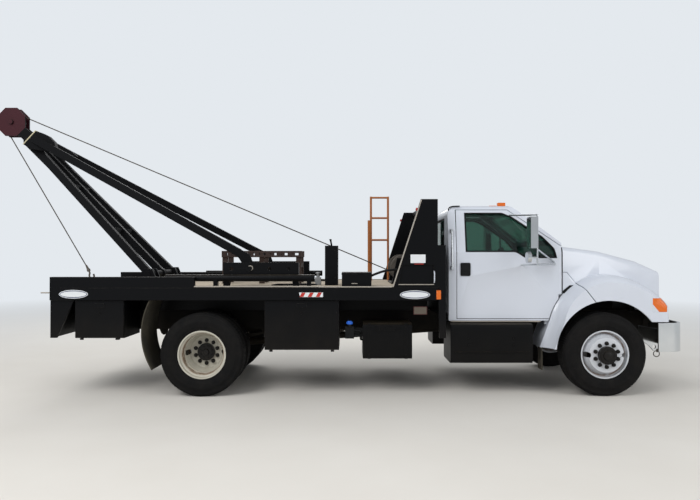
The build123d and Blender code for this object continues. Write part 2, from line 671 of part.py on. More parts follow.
def door_glass():
    """Pane of the right door, clear of its frame by the glass clearance."""
    mid = CAB_WALL / 2
    pane = side_layer(mid - GLASS_THICKNESS / 2, mid + GLASS_THICKNESS / 2)
    return pane & across_y(window_outline(-GLASS_CLEARANCE), -BESIDE_CAB_Y, -SEAT_Y)


def mirror():
    """Right mirror: two arms and a post off the door, with a tall head and a round one."""
    y = -CAB_HALF_WIDTH - 260
    x = CAB_FRONT_X - 385
    z = CAB_BELT
    skin = -CAB_HALF_WIDTH
    tube = Circle(11)
    pieces = [
        bar((x, y, z - 161), (x, y, z + 464), tube, (1, 0, 0)),
        bar((x - 250, skin + 85, z + 471), (x, y, z + 454), tube),
        bar((x + 300, skin + 5, z - 143), (x, y, z - 149), tube),
        bar((x - 120, skin + 5, z - 155), (x, y, z - 149), tube),
        bar((x + 290, skin + 5, z - 121), (x, y, z + 39), tube),
        box(x - 103, x - 18, y - 90, y + 90, z + 49, z + 429),
        box(x - 32, x, y - 12, y + 12, z + 139, z + 159),
        box(x - 32, x, y - 12, y + 12, z + 319, z + 339),
        pin_x(x - 130, x - 84, y, z - 61, 70),
        pin_x(x - 92, x, y, z - 61, 9),
    ]
    feet = [
        box(x + 285, x + 315, skin - 2, skin + 20, z - 161, z - 106),
        box(x - 135, x - 105, skin - 2, skin + 20, z - 171, z - 139),
    ]
    return fused(pieces), feet


def cab_interior():
    """Dashboard with the steering wheel, and two seats."""
    front = CAB_FRONT_X
    z = CAB_BELT
    dash_half = CAB_HALF_WIDTH - 130
    dash = across_y(
        shape((front - 357, z - 281), (front - 377, z - 141), (front - 267, z - 51),
              (front - 77, z - 21), (front - 67, z - 311)), -dash_half, dash_half)
    legs_half = dash_half - 20
    legs = box(front - 317, front - 77, -legs_half, legs_half, CAB_FLOOR_TOP, z - 261)
    column = bar((front - 297, SEAT_Y, z - 201), (front - 497, SEAT_Y, z - 121), Circle(28))
    wheel_plane = Plane(origin=(front - 492, SEAT_Y, z - 123), x_dir=(0, 1, 0), z_dir=(-0.93, 0, 0.37))
    rim = revolve(Plane.XZ * Pos(215, 0) * RegularPolygon(16, 6), Axis.Z)
    wheel = rim + Box(420, 36, 14) + Box(36, 420, 14)
    dash = fused([dash, legs, column, wheel_plane.location * wheel])
    seats = []
    rear = CAB_REAR_X
    z = CAB_FLOOR_TOP
    for y in (-SEAT_Y, SEAT_Y):
        seat = across_y(
            shape((rear + 210, z + 290), (rear + 760, z + 310), (rear + 780, z + 400),
                  (rear + 760, z + 450), (rear + 350, z + 430), (rear + 250, z + 980),
                  (rear + 210, z + 1020), (rear + 140, z + 1000), (rear + 120, z + 920)),
            y - 250, y + 250)
        base = box(rear + 260, rear + 690, y - 170, y + 170, z, z + 305)
        seats.append(seat + base)
    return [dash] + seats


def grab_handles():
    """Bright rod at each rear corner of the cab, on two feet that stand on its side."""
    x = CAB_REAR_X + 41
    low = (x, -CAB_HALF_WIDTH - 40, CAB_BELT - 194)
    high = (x, -CAB_HALF_WIDTH + 18, CAB_BELT + 269)
    pieces = [bar(low, high, Circle(10), (1, 0, 0))]
    for _, y, z in (low, high):
        pieces.append(box(x - 14, x + 14, y - 10, y + 80, z - 22, z + 22))
    return both(fused(pieces) - cab_block())


# Bonnet, wings and bumper

def wing_outline(inset, rear_shift, front_x):
    """Side outline of the front wing over its wheel arch."""
    top = (ARCH_X - 8, WING_TOP_Z - inset)
    rear = (FRONT_AXLE_X - 622 + rear_shift, HOOD_FOOT_Z + 8)
    rear_mid = (FRONT_AXLE_X - 420 + rear_shift * 0.55 + inset * 0.25,
                WING_TOP_Z - 211 - inset * 0.5)
    front_mid = (FRONT_AXLE_X + 478 - inset * 0.3, WING_TOP_Z - 105 - inset * 0.8)
    front = (front_x - 14, HOOD_FOOT_Z + 193)
    foot = (front_x, HOOD_FOOT_Z)
    arch_front = (ARCH_X + math.sqrt(ARCH_RADIUS**2 - (HOOD_FOOT_Z - ARCH_Z)**2), HOOD_FOOT_Z)
    arch_rear = (ARCH_X - math.sqrt(ARCH_RADIUS**2 - (ARCH_FOOT_Z - ARCH_Z)**2), ARCH_FOOT_Z)
    toe = (FRONT_AXLE_X - 748 + rear_shift, ARCH_FOOT_Z)
    edges = [
        ThreePointArc(rear, rear_mid, top), ThreePointArc(top, front_mid, front),
        Line(front, foot), Line(foot, arch_front),
        ThreePointArc(arch_front, (ARCH_X, ARCH_Z + ARCH_RADIUS), arch_rear),
        Line(arch_rear, toe), Line(toe, rear),
    ]
    return make_face(Wire(edges))


def wing_block():
    """Solid right wing: outlines at growing distance from the truck's middle."""
    # columns: Y, crest inset, rear shift, front X
    rows = [
        (-WING_OUTER_Y, 92, 122, NOSE_X - 155),
        (-WING_OUTER_Y + 62, 30, 116, NOSE_X - 115),
        (-CAB_HALF_WIDTH - 40, 7, 64, NOSE_X - 92),
        (-CAB_HALF_WIDTH, 0, 0, NOSE_X - 80),
        (-CAB_HALF_WIDTH + 430, 0, 0, NOSE_X - 30),
    ]
    faces = [Plane.XZ.offset(-y) * wing_outline(inset, shift, front)
             for y, inset, shift, front in rows]
    return loft(faces, ruled=True)


def wing_cavity():
    """Space inside the right wing, open downwards and towards the engine."""
    wall = WING_WALL
    # columns: Y, crest inset, rear shift, front X
    rows = [
        (-WING_OUTER_Y + wall, 96 + wall, 122, NOSE_X - 160),
        (-WING_OUTER_Y + 68, 34 + wall, 116, NOSE_X - 120),
        (-CAB_HALF_WIDTH - 36, 11 + wall, 64, NOSE_X - 97),
        (-CAB_HALF_WIDTH + 4, 4 + wall, 0, NOSE_X - 85),
        (-CAB_HALF_WIDTH + 440, 4 + wall, 0, NOSE_X - 34),
    ]
    faces = []
    for y, inset, shift, front_x in rows:
        top = (ARCH_X - 8, WING_TOP_Z - inset)
        rear = (FRONT_AXLE_X - 622 + shift + wall, HOOD_FOOT_Z + 3)
        rear_mid = (FRONT_AXLE_X - 420 + shift * 0.55 + inset * 0.25 + wall * 0.7,
                    WING_TOP_Z - 211 - inset * 0.5 - wall * 0.7)
        front_mid = (FRONT_AXLE_X + 478 - inset * 0.3 - wall * 0.4,
                     WING_TOP_Z - 105 - inset * 0.8 - wall * 0.4)
        front = (front_x - 14 - wall, HOOD_FOOT_Z + 193)
        low_front = (front_x - wall, ARCH_Z - 124)
        low_rear = (rear[0] - 90, ARCH_Z - 124)
        edges = [
            ThreePointArc(rear, rear_mid, top), ThreePointArc(top, front_mid, front),
            Line(front, low_front), Line(low_front, low_rear), Line(low_rear, rear),
        ]
        faces.append(Plane.XZ.offset(-y) * make_face(Wire(edges)))
    return loft(faces, ruled=True)


def bonnet_block(inset):
    """Solid bonnet between the wings, drawn smaller by the inset."""
    # columns: X, half width, height where the side turns over, crown height, bottom height
    rows = [
        (CAB_FRONT_X + HOOD_GAP, CAB_HALF_WIDTH - 5, COWL_Z - 110, COWL_Z - 14, HOOD_FOOT_Z + 338),
        (FRONT_AXLE_X + 30, CAB_HALF_WIDTH - 85, COWL_Z - 180, COWL_Z - 72, HOOD_FOOT_Z + 338),
        (FRONT_AXLE_X + 570, CAB_HALF_WIDTH - 220, COWL_Z - 320, COWL_Z - 198, HOOD_FOOT_Z + 188),
        (NOSE_X, CAB_HALF_WIDTH - 350, GRILLE_TOP, GRILLE_TOP + 95, HOOD_FOOT_Z),
    ]
    faces = []
    for index, (x, half, turn_z, crown_z, bottom_z) in enumerate(rows):
        x_here = x - 30 if inset and index == 0 else x
        x_here = x_here - inset if inset and index == 3 else x_here
        w = half - inset
        turn = turn_z - inset * 0.4
        crown = crown_z - inset
        bottom = bottom_z - 400 if inset else bottom_z
        edge = w - 105
        edge_z = crown - 34
        edges = [
            Line((w, bottom), (w, turn)),
            ThreePointArc((w, turn), (w - 26, (turn + edge_z) / 2 + 14), (edge, edge_z)),
            ThreePointArc((edge, edge_z), (0, crown), (-edge, edge_z)),
            ThreePointArc((-edge, edge_z), (-w + 26, (turn + edge_z) / 2 + 14), (-w, turn)),
            Line((-w, turn), (-w, bottom)),
            Line((-w, bottom), (w, bottom)),
        ]
        faces.append(Plane.YZ.offset(x_here) * make_face(Wire(edges)))
    return loft(faces, ruled=True)


def front_shell():
    """Bonnet and both wings as one hollow shell, before it is split."""
    solid = fused([bonnet_block(0), wing_block(), mirrored(wing_block())])
    hollow = fused([bonnet_block(HOOD_WALL), wing_cavity(), mirrored(wing_cavity())])
    return solid - hollow


SEAM = [
    (CAB_FRONT_X - 500, WING_TOP_Z + 22), (CAB_FRONT_X + 60, WING_TOP_Z + 22),
    (FRONT_AXLE_X - 132, WING_TOP_Z - 328), (FRONT_AXLE_X + 40, HOOD_FOOT_Z + 31),
]


def seam_region(gap):
    """Everything behind and below the seam between bonnet and splash panels."""
    points = [(x + gap * 0.7, z + gap * 0.7) for x, z in SEAM]
    low = ARCH_Z - 224
    points += [(FRONT_AXLE_X + 40 + gap, low), (CAB_FRONT_X - 500, low)]
    return across_y(shape(*points), -WING_OUTER_Y - 115, WING_OUTER_Y + 115)


def hood(shell):
    """Tilting bonnet with its wings and the opening for the grille."""
    tilting = shell - seam_region(HOOD_GAP)
    opening = box(NOSE_X - 80, NOSE_X + 40, -GRILLE_HALF_WIDTH, GRILLE_HALF_WIDTH,
                  GRILLE_BOTTOM, GRILLE_TOP)
    tilting = cut(tilting, [opening] + lamp_pockets(0))
    for side in (-1, 1):
        y0, y1 = sorted((side * (HOOD_LUG_Y - 10), side * (HOOD_LUG_Y + 10)))
        lug = across_y(
            shape((NOSE_X - 55, GRILLE_BOTTOM - 10), (NOSE_X - 12, GRILLE_BOTTOM - 10),
                  (NOSE_X - 12, HOOD_FOOT_Z),
                  (HOOD_PIVOT_X + 22, HOOD_PIVOT_Z), (HOOD_PIVOT_X, HOOD_PIVOT_Z - 22),
                  (HOOD_PIVOT_X - 22, HOOD_PIVOT_Z)), y0, y1)
        pin = pin_y(HOOD_PIVOT_X, side * (RAIL_OUTER_Y - 4), side * HOOD_LUG_Y, HOOD_PIVOT_Z,
                    HOOD_PIN_RADIUS)
        tilting = tilting + lug + pin
    return tilting


def lamp_pockets(gap):
    """Spaces of the headlamps and turn signals, drawn smaller by the gap."""
    spaces = []
    # columns: rear X, front X, inner Y, outer Y, bottom and top above the bonnet's foot
    rows = [
        (NOSE_X - 150, NOSE_X + 40, CAB_HALF_WIDTH - 285, CAB_HALF_WIDTH - 5, 88, 263),
        (NOSE_X - 345, NOSE_X - 170, WING_OUTER_Y - 65, WING_OUTER_Y + 20, 122, 290),
    ]
    for x0, x1, inner, outer, low, high in rows:
        right = box(x0 + gap, x1 - gap, -outer + gap, -inner - gap, HOOD_FOOT_Z + low + gap,
                    HOOD_FOOT_Z + high - gap)
        spaces += both(right)
    return spaces


def headlamps(shell):
    """Lenses that fill the pockets, flush with the wings."""
    return [shell & space for space in lamp_pockets(GLASS_CLEARANCE)]


def splash_panels(shell):
    """Fixed rear part of each wing, between the seam and the door."""
    fixed = shell & seam_region(0)
    low = HOOD_FOOT_Z + 238
    plate = across_y(
        shape((CAB_FRONT_X + HOOD_GAP, low), (CAB_FRONT_X + HOOD_GAP, WING_TOP_Z + 22),
              (CAB_FRONT_X + 60, WING_TOP_Z + 22), (FRONT_AXLE_X - 220, WING_TOP_Z - 216),
              (FRONT_AXLE_X - 300, low)),
        -CAB_HALF_WIDTH, -CAB_HALF_WIDTH + 24)
    fixed = fused([fixed, plate, mirrored(plate)])
    cab_half = CAB_HALF_WIDTH - CAB_WALL
    cab_room = box(FRONT_AXLE_X - 1200, CAB_FRONT_X + RUNNING_CLEARANCE, -cab_half, cab_half,
                   CAB_BOTTOM - DOOR_GAP, COWL_Z - 180)
    pad = box(CAB_FRONT_X - 207, CAB_FRONT_X - 150, -CAB_HALF_WIDTH + 50, -CAB_HALF_WIDTH + 85,
              CAB_BOTTOM - 50, CAB_BOTTOM)
    return fused([fixed - cab_room, pad, mirrored(pad)])


def grille():
    """Surround and level bars that fill the opening in the nose."""
    c = GLASS_CLEARANCE
    x0 = NOSE_X - 34
    x1 = NOSE_X + 18
    half = GRILLE_HALF_WIDTH - c
    frame = box(x0, x1, -half, half, GRILLE_BOTTOM + c, GRILLE_TOP - c)
    frame = frame - box(x0 - 5, x1 + 5, -half + 45, half - 45, GRILLE_BOTTOM + 40, GRILLE_TOP - 40)
    pieces = [frame]
    bar_count = 6
    low = GRILLE_BOTTOM + 40
    high = GRILLE_TOP - 40
    for index in range(bar_count):
        z = low + (index + 0.5) * (high - low) / bar_count
        pieces.append(box(x0 + 6, x1 - 6, -half + 40, half - 40, z - 14, z + 14))
    for y in (-215, 0, 215):
        pieces.append(box(x0 + 10, x1 - 14, y - 8, y + 8, low - 5, high + 5))
    return fused(pieces)


def bumper():
    """Chrome bumper that wraps round to the wings, with two tow plates below it."""
    front = BUMPER_FRONT_X
    back = FRONT_AXLE_X + 638
    half = BUMPER_HALF_WIDTH

    def plan(inset):
        edges = [
            Line((back, -half + inset), (front - 190, -half + inset)),
            ThreePointArc((front - 190, -half + inset), (front - 95 - inset, -half + 60 + inset),
                          (front - 40 - inset, -half + 230)),
            ThreePointArc((front - 40 - inset, -half + 230), (front - inset, 0),
                          (front - 40 - inset, half - 230)),
            ThreePointArc((front - 40 - inset, half - 230), (front - 95 - inset, half - 60 - inset),
                          (front - 190, half - inset)),
            Line((front - 190, half - inset), (back, half - inset)),
            Line((back, half - inset), (back, -half + inset)),
        ]
        return make_face(Wire(edges))

    outer = upright(plan(0), BUMPER_BOTTOM, BUMPER_TOP)
    shell = outer - upright(plan(24), BUMPER_BOTTOM - 5, BUMPER_TOP + 5)
    shell = shell - box(back - 10, back + 10, -half + 30, half - 30, BUMPER_BOTTOM - 10, BUMPER_TOP + 10)
    pieces = [shell]
    low = RAIL_BOTTOM
    for side in (-1, 1):
        y = side * (RAIL_OUTER_Y + 12)
        tow = across_y(
            shape((FRAME_FRONT_X - 130, low + 50), (front - 30, low + 5), (front - 30, low - 270),
                  (front - 90, low - 290), (front - 150, low - 220), (FRAME_FRONT_X - 130, low - 120)),
            y - 12, y + 12)
        pieces.append(tow - pin_y(front - 82, y - 20, y + 20, low - 235, TOW_BORE_RADIUS))
    return fused(pieces)


# Bed

def bed_sills():
    """Two long sills that stand on the frame rails."""
    top = SIDE_RAIL_BOTTOM + 10
    sill = box(BED_REAR_X + 40, BED_FRONT_X - 30, -RAIL_OUTER_Y, -RAIL_OUTER_Y + RAIL_FLANGE,
               RAIL_TOP, top)
    return both(sill)


def bed_crossmembers():
    """Row of crossmembers on the sills, and the plate that hangs from the last one."""
    half = BED_HALF_WIDTH - SIDE_RAIL_WIDTH
    pieces = []
    for index in range(CROSSMEMBER_COUNT):
        share = index / (CROSSMEMBER_COUNT - 1)
        x = BED_REAR_X + 40 + share * (BED_FRONT_X - BED_REAR_X - 80)
        pieces.append(box(x - 30, x + 30, -half, half, SIDE_RAIL_BOTTOM + 10,
                          DECK_TOP - DECK_THICKNESS))
    pieces.append(box(BED_REAR_X + 10, BED_REAR_X + 35, -half, half, BED_FOOT_Z,
                      SIDE_RAIL_BOTTOM + 10))
    return pieces


def bed_side_rails():
    """Side rails, raised along the tail, with a leg that hangs from each rear corner."""
    y0 = -BED_HALF_WIDTH
    y1 = y0 + SIDE_RAIL_WIDTH
    rail = across_y(
        shape((BED_REAR_X, SIDE_RAIL_BOTTOM), (BED_REAR_X, RAISED_RAIL_TOP),
              (RAISED_RAIL_FRONT_X, RAISED_RAIL_TOP), (RAISED_RAIL_FRONT_X, DECK_TOP),
              (BED_FRONT_X, DECK_TOP), (BED_FRONT_X, SIDE_RAIL_BOTTOM)), y0, y1)
    leg = across_y(
        shape((BED_REAR_X, SIDE_RAIL_BOTTOM + 5), (BED_REAR_X, BED_FOOT_Z),
              (BED_REAR_X + 79, BED_FOOT_Z), (BED_REAR_X + 290, SIDE_RAIL_BOTTOM + 5)),
        y0 + 24, y0 + 64)
    return both(rail + leg)


def bed_deck():
    """Deck plate between the side rails."""
    c = RUNNING_CLEARANCE
    half = BED_HALF_WIDTH - SIDE_RAIL_WIDTH - c
    return box(BED_REAR_X, BED_FRONT_X, -half, half, DECK_TOP - DECK_THICKNESS, DECK_TOP)


def rack_panels():
    """Side panels of the headache rack, each with a shallow pocket at its foot."""
    x = BED_FRONT_X
    z = DECK_TOP
    outline = shape(
        (x - 425, z), (x - 206, z + 1070), (x, z + 1070), (x, z + 510), (x + 97, z + 510),
        (x + 97, BED_FOOT_Z), (x + 17, BED_FOOT_Z), (x + 7, z - 240), (x + 7, z),
    )
    y0 = -BED_HALF_WIDTH
    panel = across_y(outline, y0, y0 + RACK_PANEL)
    recess = across_y(
        shape((x - 411, z + 31), (x - 361, z + 268), (x - 48, z + 268), (x - 48, z + 31)),
        y0 - 1, y0 + 22)
    return both(panel - recess)


def headache_rack():
    """Bulkhead and bars between the side panels, standing on the frame rails."""
    half = BED_HALF_WIDTH - RACK_PANEL
    x = BED_FRONT_X
    z = DECK_TOP
    pieces = [
        box(x + 27, x + 57, -half, half, RAIL_TOP, z + 510),
        box(x - 73, x + 47, -half, half, z + 450, z + 510),
    ]
    for height in (740, 1035):
        pieces.append(box(x - 73, x - 13, -half, half, z + height - 30, z + height + 30))
    for y in (-600, 0, 600):
        pieces.append(box(x - 73, x - 13, y - 30, y + 30, z + 470, z + 1060))
    return fused(pieces)


TANK_REAR_X = BED_FRONT_X - 910
# columns: name, rear X, front X, bottom Z
TOOLBOXES = [
    ("rear", REAR_AXLE_X - 1542, REAR_AXLE_X - 947, SIDE_RAIL_BOTTOM - 465),
    ("mid", REAR_AXLE_X + 765, TANK_REAR_X - 292, SIDE_RAIL_BOTTOM - 609),
]
BOX_FACE_Y = BED_HALF_WIDTH - 31
BOX_DEPTH = 560
BOX_TOP = SIDE_RAIL_BOTTOM
BOX_WALL = 20
LID_THICKNESS = 24
LID_AXIS_Y = BOX_FACE_Y - LID_THICKNESS / 2
LID_DROP = 10
LID_PIN_RADIUS = 4


def toolbox(rear_x, front_x, bottom):
    """Right toolbox body, open at its outer face."""
    face = -BOX_FACE_Y + LID_THICKNESS + 3
    body = box(rear_x, front_x, face, face + BOX_DEPTH, bottom, BOX_TOP)
    space = box(rear_x + BOX_WALL, front_x - BOX_WALL, face - 1, face + BOX_DEPTH - BOX_WALL,
                bottom + BOX_WALL, BOX_TOP - BOX_WALL)
    body = body - space
    y = -LID_AXIS_Y
    z = bottom - LID_DROP
    for x in (rear_x + 70, front_x - 70):
        ear = pin_x(x - 8, x + 8, y, z, 10) + box(x - 8, x + 8, y, y + 50, z - 10, bottom + 2)
        body = body + (ear - pin_x(x - 12, x + 12, y, z, LID_PIN_RADIUS + RUNNING_CLEARANCE))
    return body


def toolbox_lid(rear_x, front_x, bottom):
    """Right toolbox lid, hinged along its lower edge."""
    lid = box(rear_x + 4, front_x - 4, -BOX_FACE_Y, -BOX_FACE_Y + LID_THICKNESS,
              bottom + 6, BOX_TOP - 8)
    z = bottom - LID_DROP
    for x, side in ((rear_x + 70, 1), (front_x - 70, -1)):
        x0, x1 = sorted((x + side * 9, x + side * 30))
        lid = lid + box(x0, x1, -BOX_FACE_Y, -BOX_FACE_Y + LID_THICKNESS, z - 9, bottom + 10)
        x0, x1 = sorted((x - side * 14, x + side * 20))
        lid = lid + pin_x(x0, x1, -LID_AXIS_Y, z, LID_PIN_RADIUS)
    latch = box((rear_x + front_x) / 2 - 60, (rear_x + front_x) / 2 + 60, -BOX_FACE_Y - 10,
                -BOX_FACE_Y + 2, BOX_TOP - 90, BOX_TOP - 40)
    return lid + latch


def tank_and_steps():
    """Tanks beside the frame, each hung from the rail on brackets."""
    pieces = []
    inner = RAIL_OUTER_Y + 128
    # columns: rear X, front X, depth below the rails' underside, height above it, outer Y
    rows = [
        (TANK_REAR_X, TANK_REAR_X + 607, 291, 144, BED_HALF_WIDTH - 109),
        (CAB_REAR_X, CAB_FRONT_X - 404, 343, 140, CAB_HALF_WIDTH + 130),
    ]
    for x0, x1, depth, height, outer in rows:
        tank = box(x0, x1, -outer, -inner, RAIL_BOTTOM - depth, RAIL_BOTTOM + height)
        tank = fillet(tank.edges().filter_by(Axis.X), 45)
        for x in (x0 + 90, x1 - 90):
            tank = tank + box(x - 30, x + 30, -inner - 5, -RAIL_OUTER_Y, RAIL_BOTTOM + 20,
                              RAIL_BOTTOM + 130)
        pieces += both(tank)
    return pieces


def winch_frame():
    """Side plates and base of the bed winch, with its hydraulic motor."""
    x = WINCH_X
    pieces = [box(x - 175, x + 185, -390, 390, DECK_TOP, DECK_TOP + 22)]
    for side in (-1, 1):
        plate = across_y(
            shape((x - 165, DECK_TOP + 10), (x - 95, WINCH_Z + 130), (x + 95, WINCH_Z + 130),
                  (x + 175, DECK_TOP + 10)),
            min(side * 340, side * 366), max(side * 340, side * 366))
        pieces.append(plate)
    pieces.append(pin_y(WINCH_X, 360, 520, WINCH_Z, 95))
    frame = fused(pieces)
    return frame - pin_y(WINCH_X, -380, 362, WINCH_Z, 36 + RUNNING_CLEARANCE)


def winch_drum():
    """Winch drum with its two flanges and shaft."""
    drum = fused([
        pin_y(WINCH_X, -325, 325, WINCH_Z, 105),
        pin_y(WINCH_X, -330, -308, WINCH_Z, 178),
        pin_y(WINCH_X, 308, 330, WINCH_Z, 178),
        pin_y(WINCH_X, -378, 355, WINCH_Z, 36),
    ])
    return drum


def strut_guides():
    """Pair of slotted guides on the deck for the struts' feet, with a push tube beside each."""
    x = STRUT_FOOT_X
    z = STRUT_FOOT_Z
    outline = shape(
        (x - 325, DECK_TOP), (x - 325, z + 78), (x + 612, z + 78), (x + 612, DECK_TOP),
        (x + 544, DECK_TOP), (x + 514, z - 78), (x - 226, z - 78), (x - 256, DECK_TOP),
    )
    inner_half = 33
    plate = 12
    y0 = -STRUT_FOOT_Y - inner_half - plate
    y1 = -STRUT_FOOT_Y + inner_half + plate
    pieces = [
        box(x - 325, x - 266, y0, y1, DECK_TOP, z - 138),
        box(x + 569, x + 612, y0, y1, DECK_TOP, z + 78),
    ]
    for side_y in (y0, y1 - plate):
        side = across_y(outline, side_y, side_y + plate)
        for hole_x in (x - 225, x + 250, x + 487):
            side = side - pin_y(hole_x, side_y - 5, side_y + plate + 5, z, 24)
        pieces.append(side)
    # The pin's two heads stand outside the plates; its middle stays with the strut.
    for y_out, y_in in ((y0 - 26, y0 + 5), (y1 - 5, y1 + 26)):
        pieces.append(pin_y(x, y_out, y_in, z, 32))
    guide = fused(pieces)
    tube_y = -STRUT_FOOT_Y - 92
    tube_z = DECK_TOP + 106
    tube = pin_x(x - 1024, x + 812, tube_y, tube_z, 43)
    for foot_x in (x - 956, x - 406, x + 744):
        tube = tube + box(foot_x - 25, foot_x + 25, tube_y - 40, tube_y + 40, DECK_TOP, tube_z - 6)
    return both(guide) + both(tube)


# Mast

def leg_ears():
    """Deck brackets that carry the mast's foot shaft."""
    ears = []
    for y in (-LEG_FOOT_Y - 92, -LEG_FOOT_Y + 90, LEG_FOOT_Y - 90, LEG_FOOT_Y + 92):
        ear = across_y(
            shape((LEG_FOOT_X - 150, DECK_TOP), (LEG_FOOT_X - 60, LEG_FOOT_Z + 70),
                  (LEG_FOOT_X + 60, LEG_FOOT_Z + 70), (LEG_FOOT_X + 150, DECK_TOP)),
            y - 15, y + 15)
        ears.append(ear - pin_y(LEG_FOOT_X, y - 20, y + 20, LEG_FOOT_Z,
                                FOOT_SHAFT_RADIUS + RUNNING_CLEARANCE))
    return ears


def mast_legs():
    """Two legs and a middle beam on the foot shaft, joined by the head pipe."""
    section = Rectangle(BEAM_WIDTH, BEAM_DEPTH)
    shaft_half = LEG_FOOT_Y + 120
    pieces = [pin_y(LEG_FOOT_X, -shaft_half, shaft_half, LEG_FOOT_Z, FOOT_SHAFT_RADIUS)]
    for side in (-1, 1):
        foot = (LEG_FOOT_X, side * LEG_FOOT_Y, LEG_FOOT_Z)
        head = (HEAD_X, side * LEG_HEAD_Y, HEAD_Z)
        pieces.append(bar(foot, head, section))
        pieces.append(pin_y(LEG_FOOT_X, side * LEG_FOOT_Y - 62, side * LEG_FOOT_Y + 62, LEG_FOOT_Z, 66))
    pieces.append(bar((LEG_FOOT_X, 0, LEG_FOOT_Z), (HEAD_X, 0, HEAD_Z), Rectangle(70, BEAM_DEPTH)))
    pieces.append(pin_y(LEG_FOOT_X, -55, 55, LEG_FOOT_Z, 60))
    pieces.append(pin_y(HEAD_X, -HEAD_PIPE_HALF_LENGTH, HEAD_PIPE_HALF_LENGTH, HEAD_Z, HEAD_PIPE_RADIUS))
    for t in (0.33, 0.66):
        x = LEG_FOOT_X + t * (HEAD_X - LEG_FOOT_X)
        z = LEG_FOOT_Z + t * (HEAD_Z - LEG_FOOT_Z)
        half = LEG_FOOT_Y + t * (LEG_HEAD_Y - LEG_FOOT_Y)
        pieces.append(bar((x, -half, z), (x, half, z), Rectangle(60, 60), (1, 0, 0)))
    return fused(pieces)


def sheave_block():
    """Two eight sided cheek plates, each with a neck down to the head pipe, and their pin."""
    corner = BLOCK_FLATS / 2 / math.cos(math.radians(22.5))
    octagon = Pos(BLOCK_X, BLOCK_Z) * RegularPolygon(corner, 8, rotation=22.5)
    run = Vector(BLOCK_X - HEAD_X, BLOCK_Z - HEAD_Z).normalized()
    wide = Vector(-run.Y, run.X) * (HEAD_PIPE_RADIUS + 26)
    narrow = Vector(-run.Y, run.X) * HEAD_PIPE_RADIUS
    head = Vector(HEAD_X, HEAD_Z)
    block = Vector(BLOCK_X, BLOCK_Z)
    neck = shape(head + wide, head - wide, block - narrow, block + narrow)
    eye = Pos(HEAD_X, HEAD_Z) * Circle(HEAD_PIPE_RADIUS + 26)
    bore = Pos(HEAD_X, HEAD_Z) * Circle(HEAD_PIPE_RADIUS + RUNNING_CLEARANCE)
    cheek = octagon + neck + eye - bore
    pin = pin_y(BLOCK_X, -90, 90, BLOCK_Z, 34)
    spacer = box(BLOCK_X + 60, BLOCK_X + 175, -50, 50, BLOCK_Z - 190, BLOCK_Z - 168)
    right = across_y(cheek, -CHEEK_OUTER_Y, -CHEEK_OUTER_Y + CHEEK_THICKNESS)
    return fused([right, mirrored(right), pin, spacer])


def sheave():
    """Grooved sheave that turns on the block's pin."""
    groove = [
        (34 + RUNNING_CLEARANCE, -36), (SHEAVE_RADIUS, -36), (SHEAVE_RADIUS, -26),
        (SHEAVE_RADIUS - 34, -12), (SHEAVE_RADIUS - 34, 12), (SHEAVE_RADIUS, 26),
        (SHEAVE_RADIUS, 36), (34 + RUNNING_CLEARANCE, 36),
    ]
    return Pos(BLOCK_X, 0, BLOCK_Z) * revolve(shape(*groove), Axis.Y)


def mast_struts():
    """Two struts that hang on the head pipe and end in a tongue for the guide's pin."""
    solids = []
    tongue = 50
    eye = 30
    dx = STRUT_FOOT_X - HEAD_X
    dz = STRUT_FOOT_Z - HEAD_Z
    length = math.hypot(dx, dz)
    ux = dx / length
    uz = dz / length
    knee = (STRUT_FOOT_X - ux * 330, -STRUT_FOOT_Y, STRUT_FOOT_Z - uz * 330)
    sleeve = pin_y(HEAD_X, -STRUT_HEAD_Y - 48, -STRUT_HEAD_Y + 48, HEAD_Z, HEAD_PIPE_RADIUS + 22)
    start = (HEAD_X + ux * 30, -STRUT_HEAD_Y, HEAD_Z + uz * 30)
    beam = bar(start, knee, Rectangle(BEAM_WIDTH, BEAM_DEPTH))
    blade = bar((knee[0] - ux * 60, knee[1], knee[2] - uz * 60),
                (STRUT_FOOT_X, -STRUT_FOOT_Y, STRUT_FOOT_Z), Rectangle(tongue, 56))
    boss = pin_y(STRUT_FOOT_X, -STRUT_FOOT_Y - 33 + RUNNING_CLEARANCE,
                 -STRUT_FOOT_Y + 33 - RUNNING_CLEARANCE, STRUT_FOOT_Z, eye)
    strut = fused([sleeve, beam, blade, boss])
    strut = strut - pin_y(HEAD_X, -STRUT_HEAD_Y - 60, -STRUT_HEAD_Y + 60, HEAD_Z,
                          HEAD_PIPE_RADIUS + RUNNING_CLEARANCE)
    solids += both(strut)
    return solids


# Deck fittings

def deck_rack():
    """Low rack along the middle of the deck, with slotted top channels."""
    rear = REAR_AXLE_X + 52
    length = 1096
    z = DECK_TOP
    posts = (rear + 42, rear + length / 2, rear + length - 44)
    pieces = []
    for y in (-210, 210):
        top = box(rear, rear + length, y - 45, y + 45, z + 360, z + 447)
        for index in range(7):
            x = rear + 62 + index * 150
            top = top - box(x, x + 90, y - 60, y + 60, z + 388, z + 420)
        pieces.append(top)
        for x in posts:
            pieces.append(box(x - 35, x + 35, y - 30, y + 30, z, z + 365))
    for x in posts:
        pieces.append(box(x - 30, x + 30, -240, 240, z + 220, z + 280))
    return fused(pieces)


def control_stand():
    """Louvred valve stand with the winch levers, and a closed box ahead of it."""
    rear = BED_FRONT_X - 1391
    y0 = -BED_HALF_WIDTH + 459
    z = DECK_TOP
    stand = box(rear, rear + 168, y0, y0 + 280, z, z + 510)
    for index in range(7):
        slot_z = z + 80 + index * 56
        stand = stand - box(rear + 28, rear + 140, y0 - 1, y0 + 12, slot_z, slot_z + 26)
    for index in range(4):
        y = y0 + 50 + index * 60
        stand = stand + bar((rear + 84, y, z + 505), (rear + 68, y, z + 590), Circle(9))
    chest = box(rear + 222, rear + 587, -BED_HALF_WIDTH + 89, -BED_HALF_WIDTH + 419, z, z + 176)
    return [stand, chest]


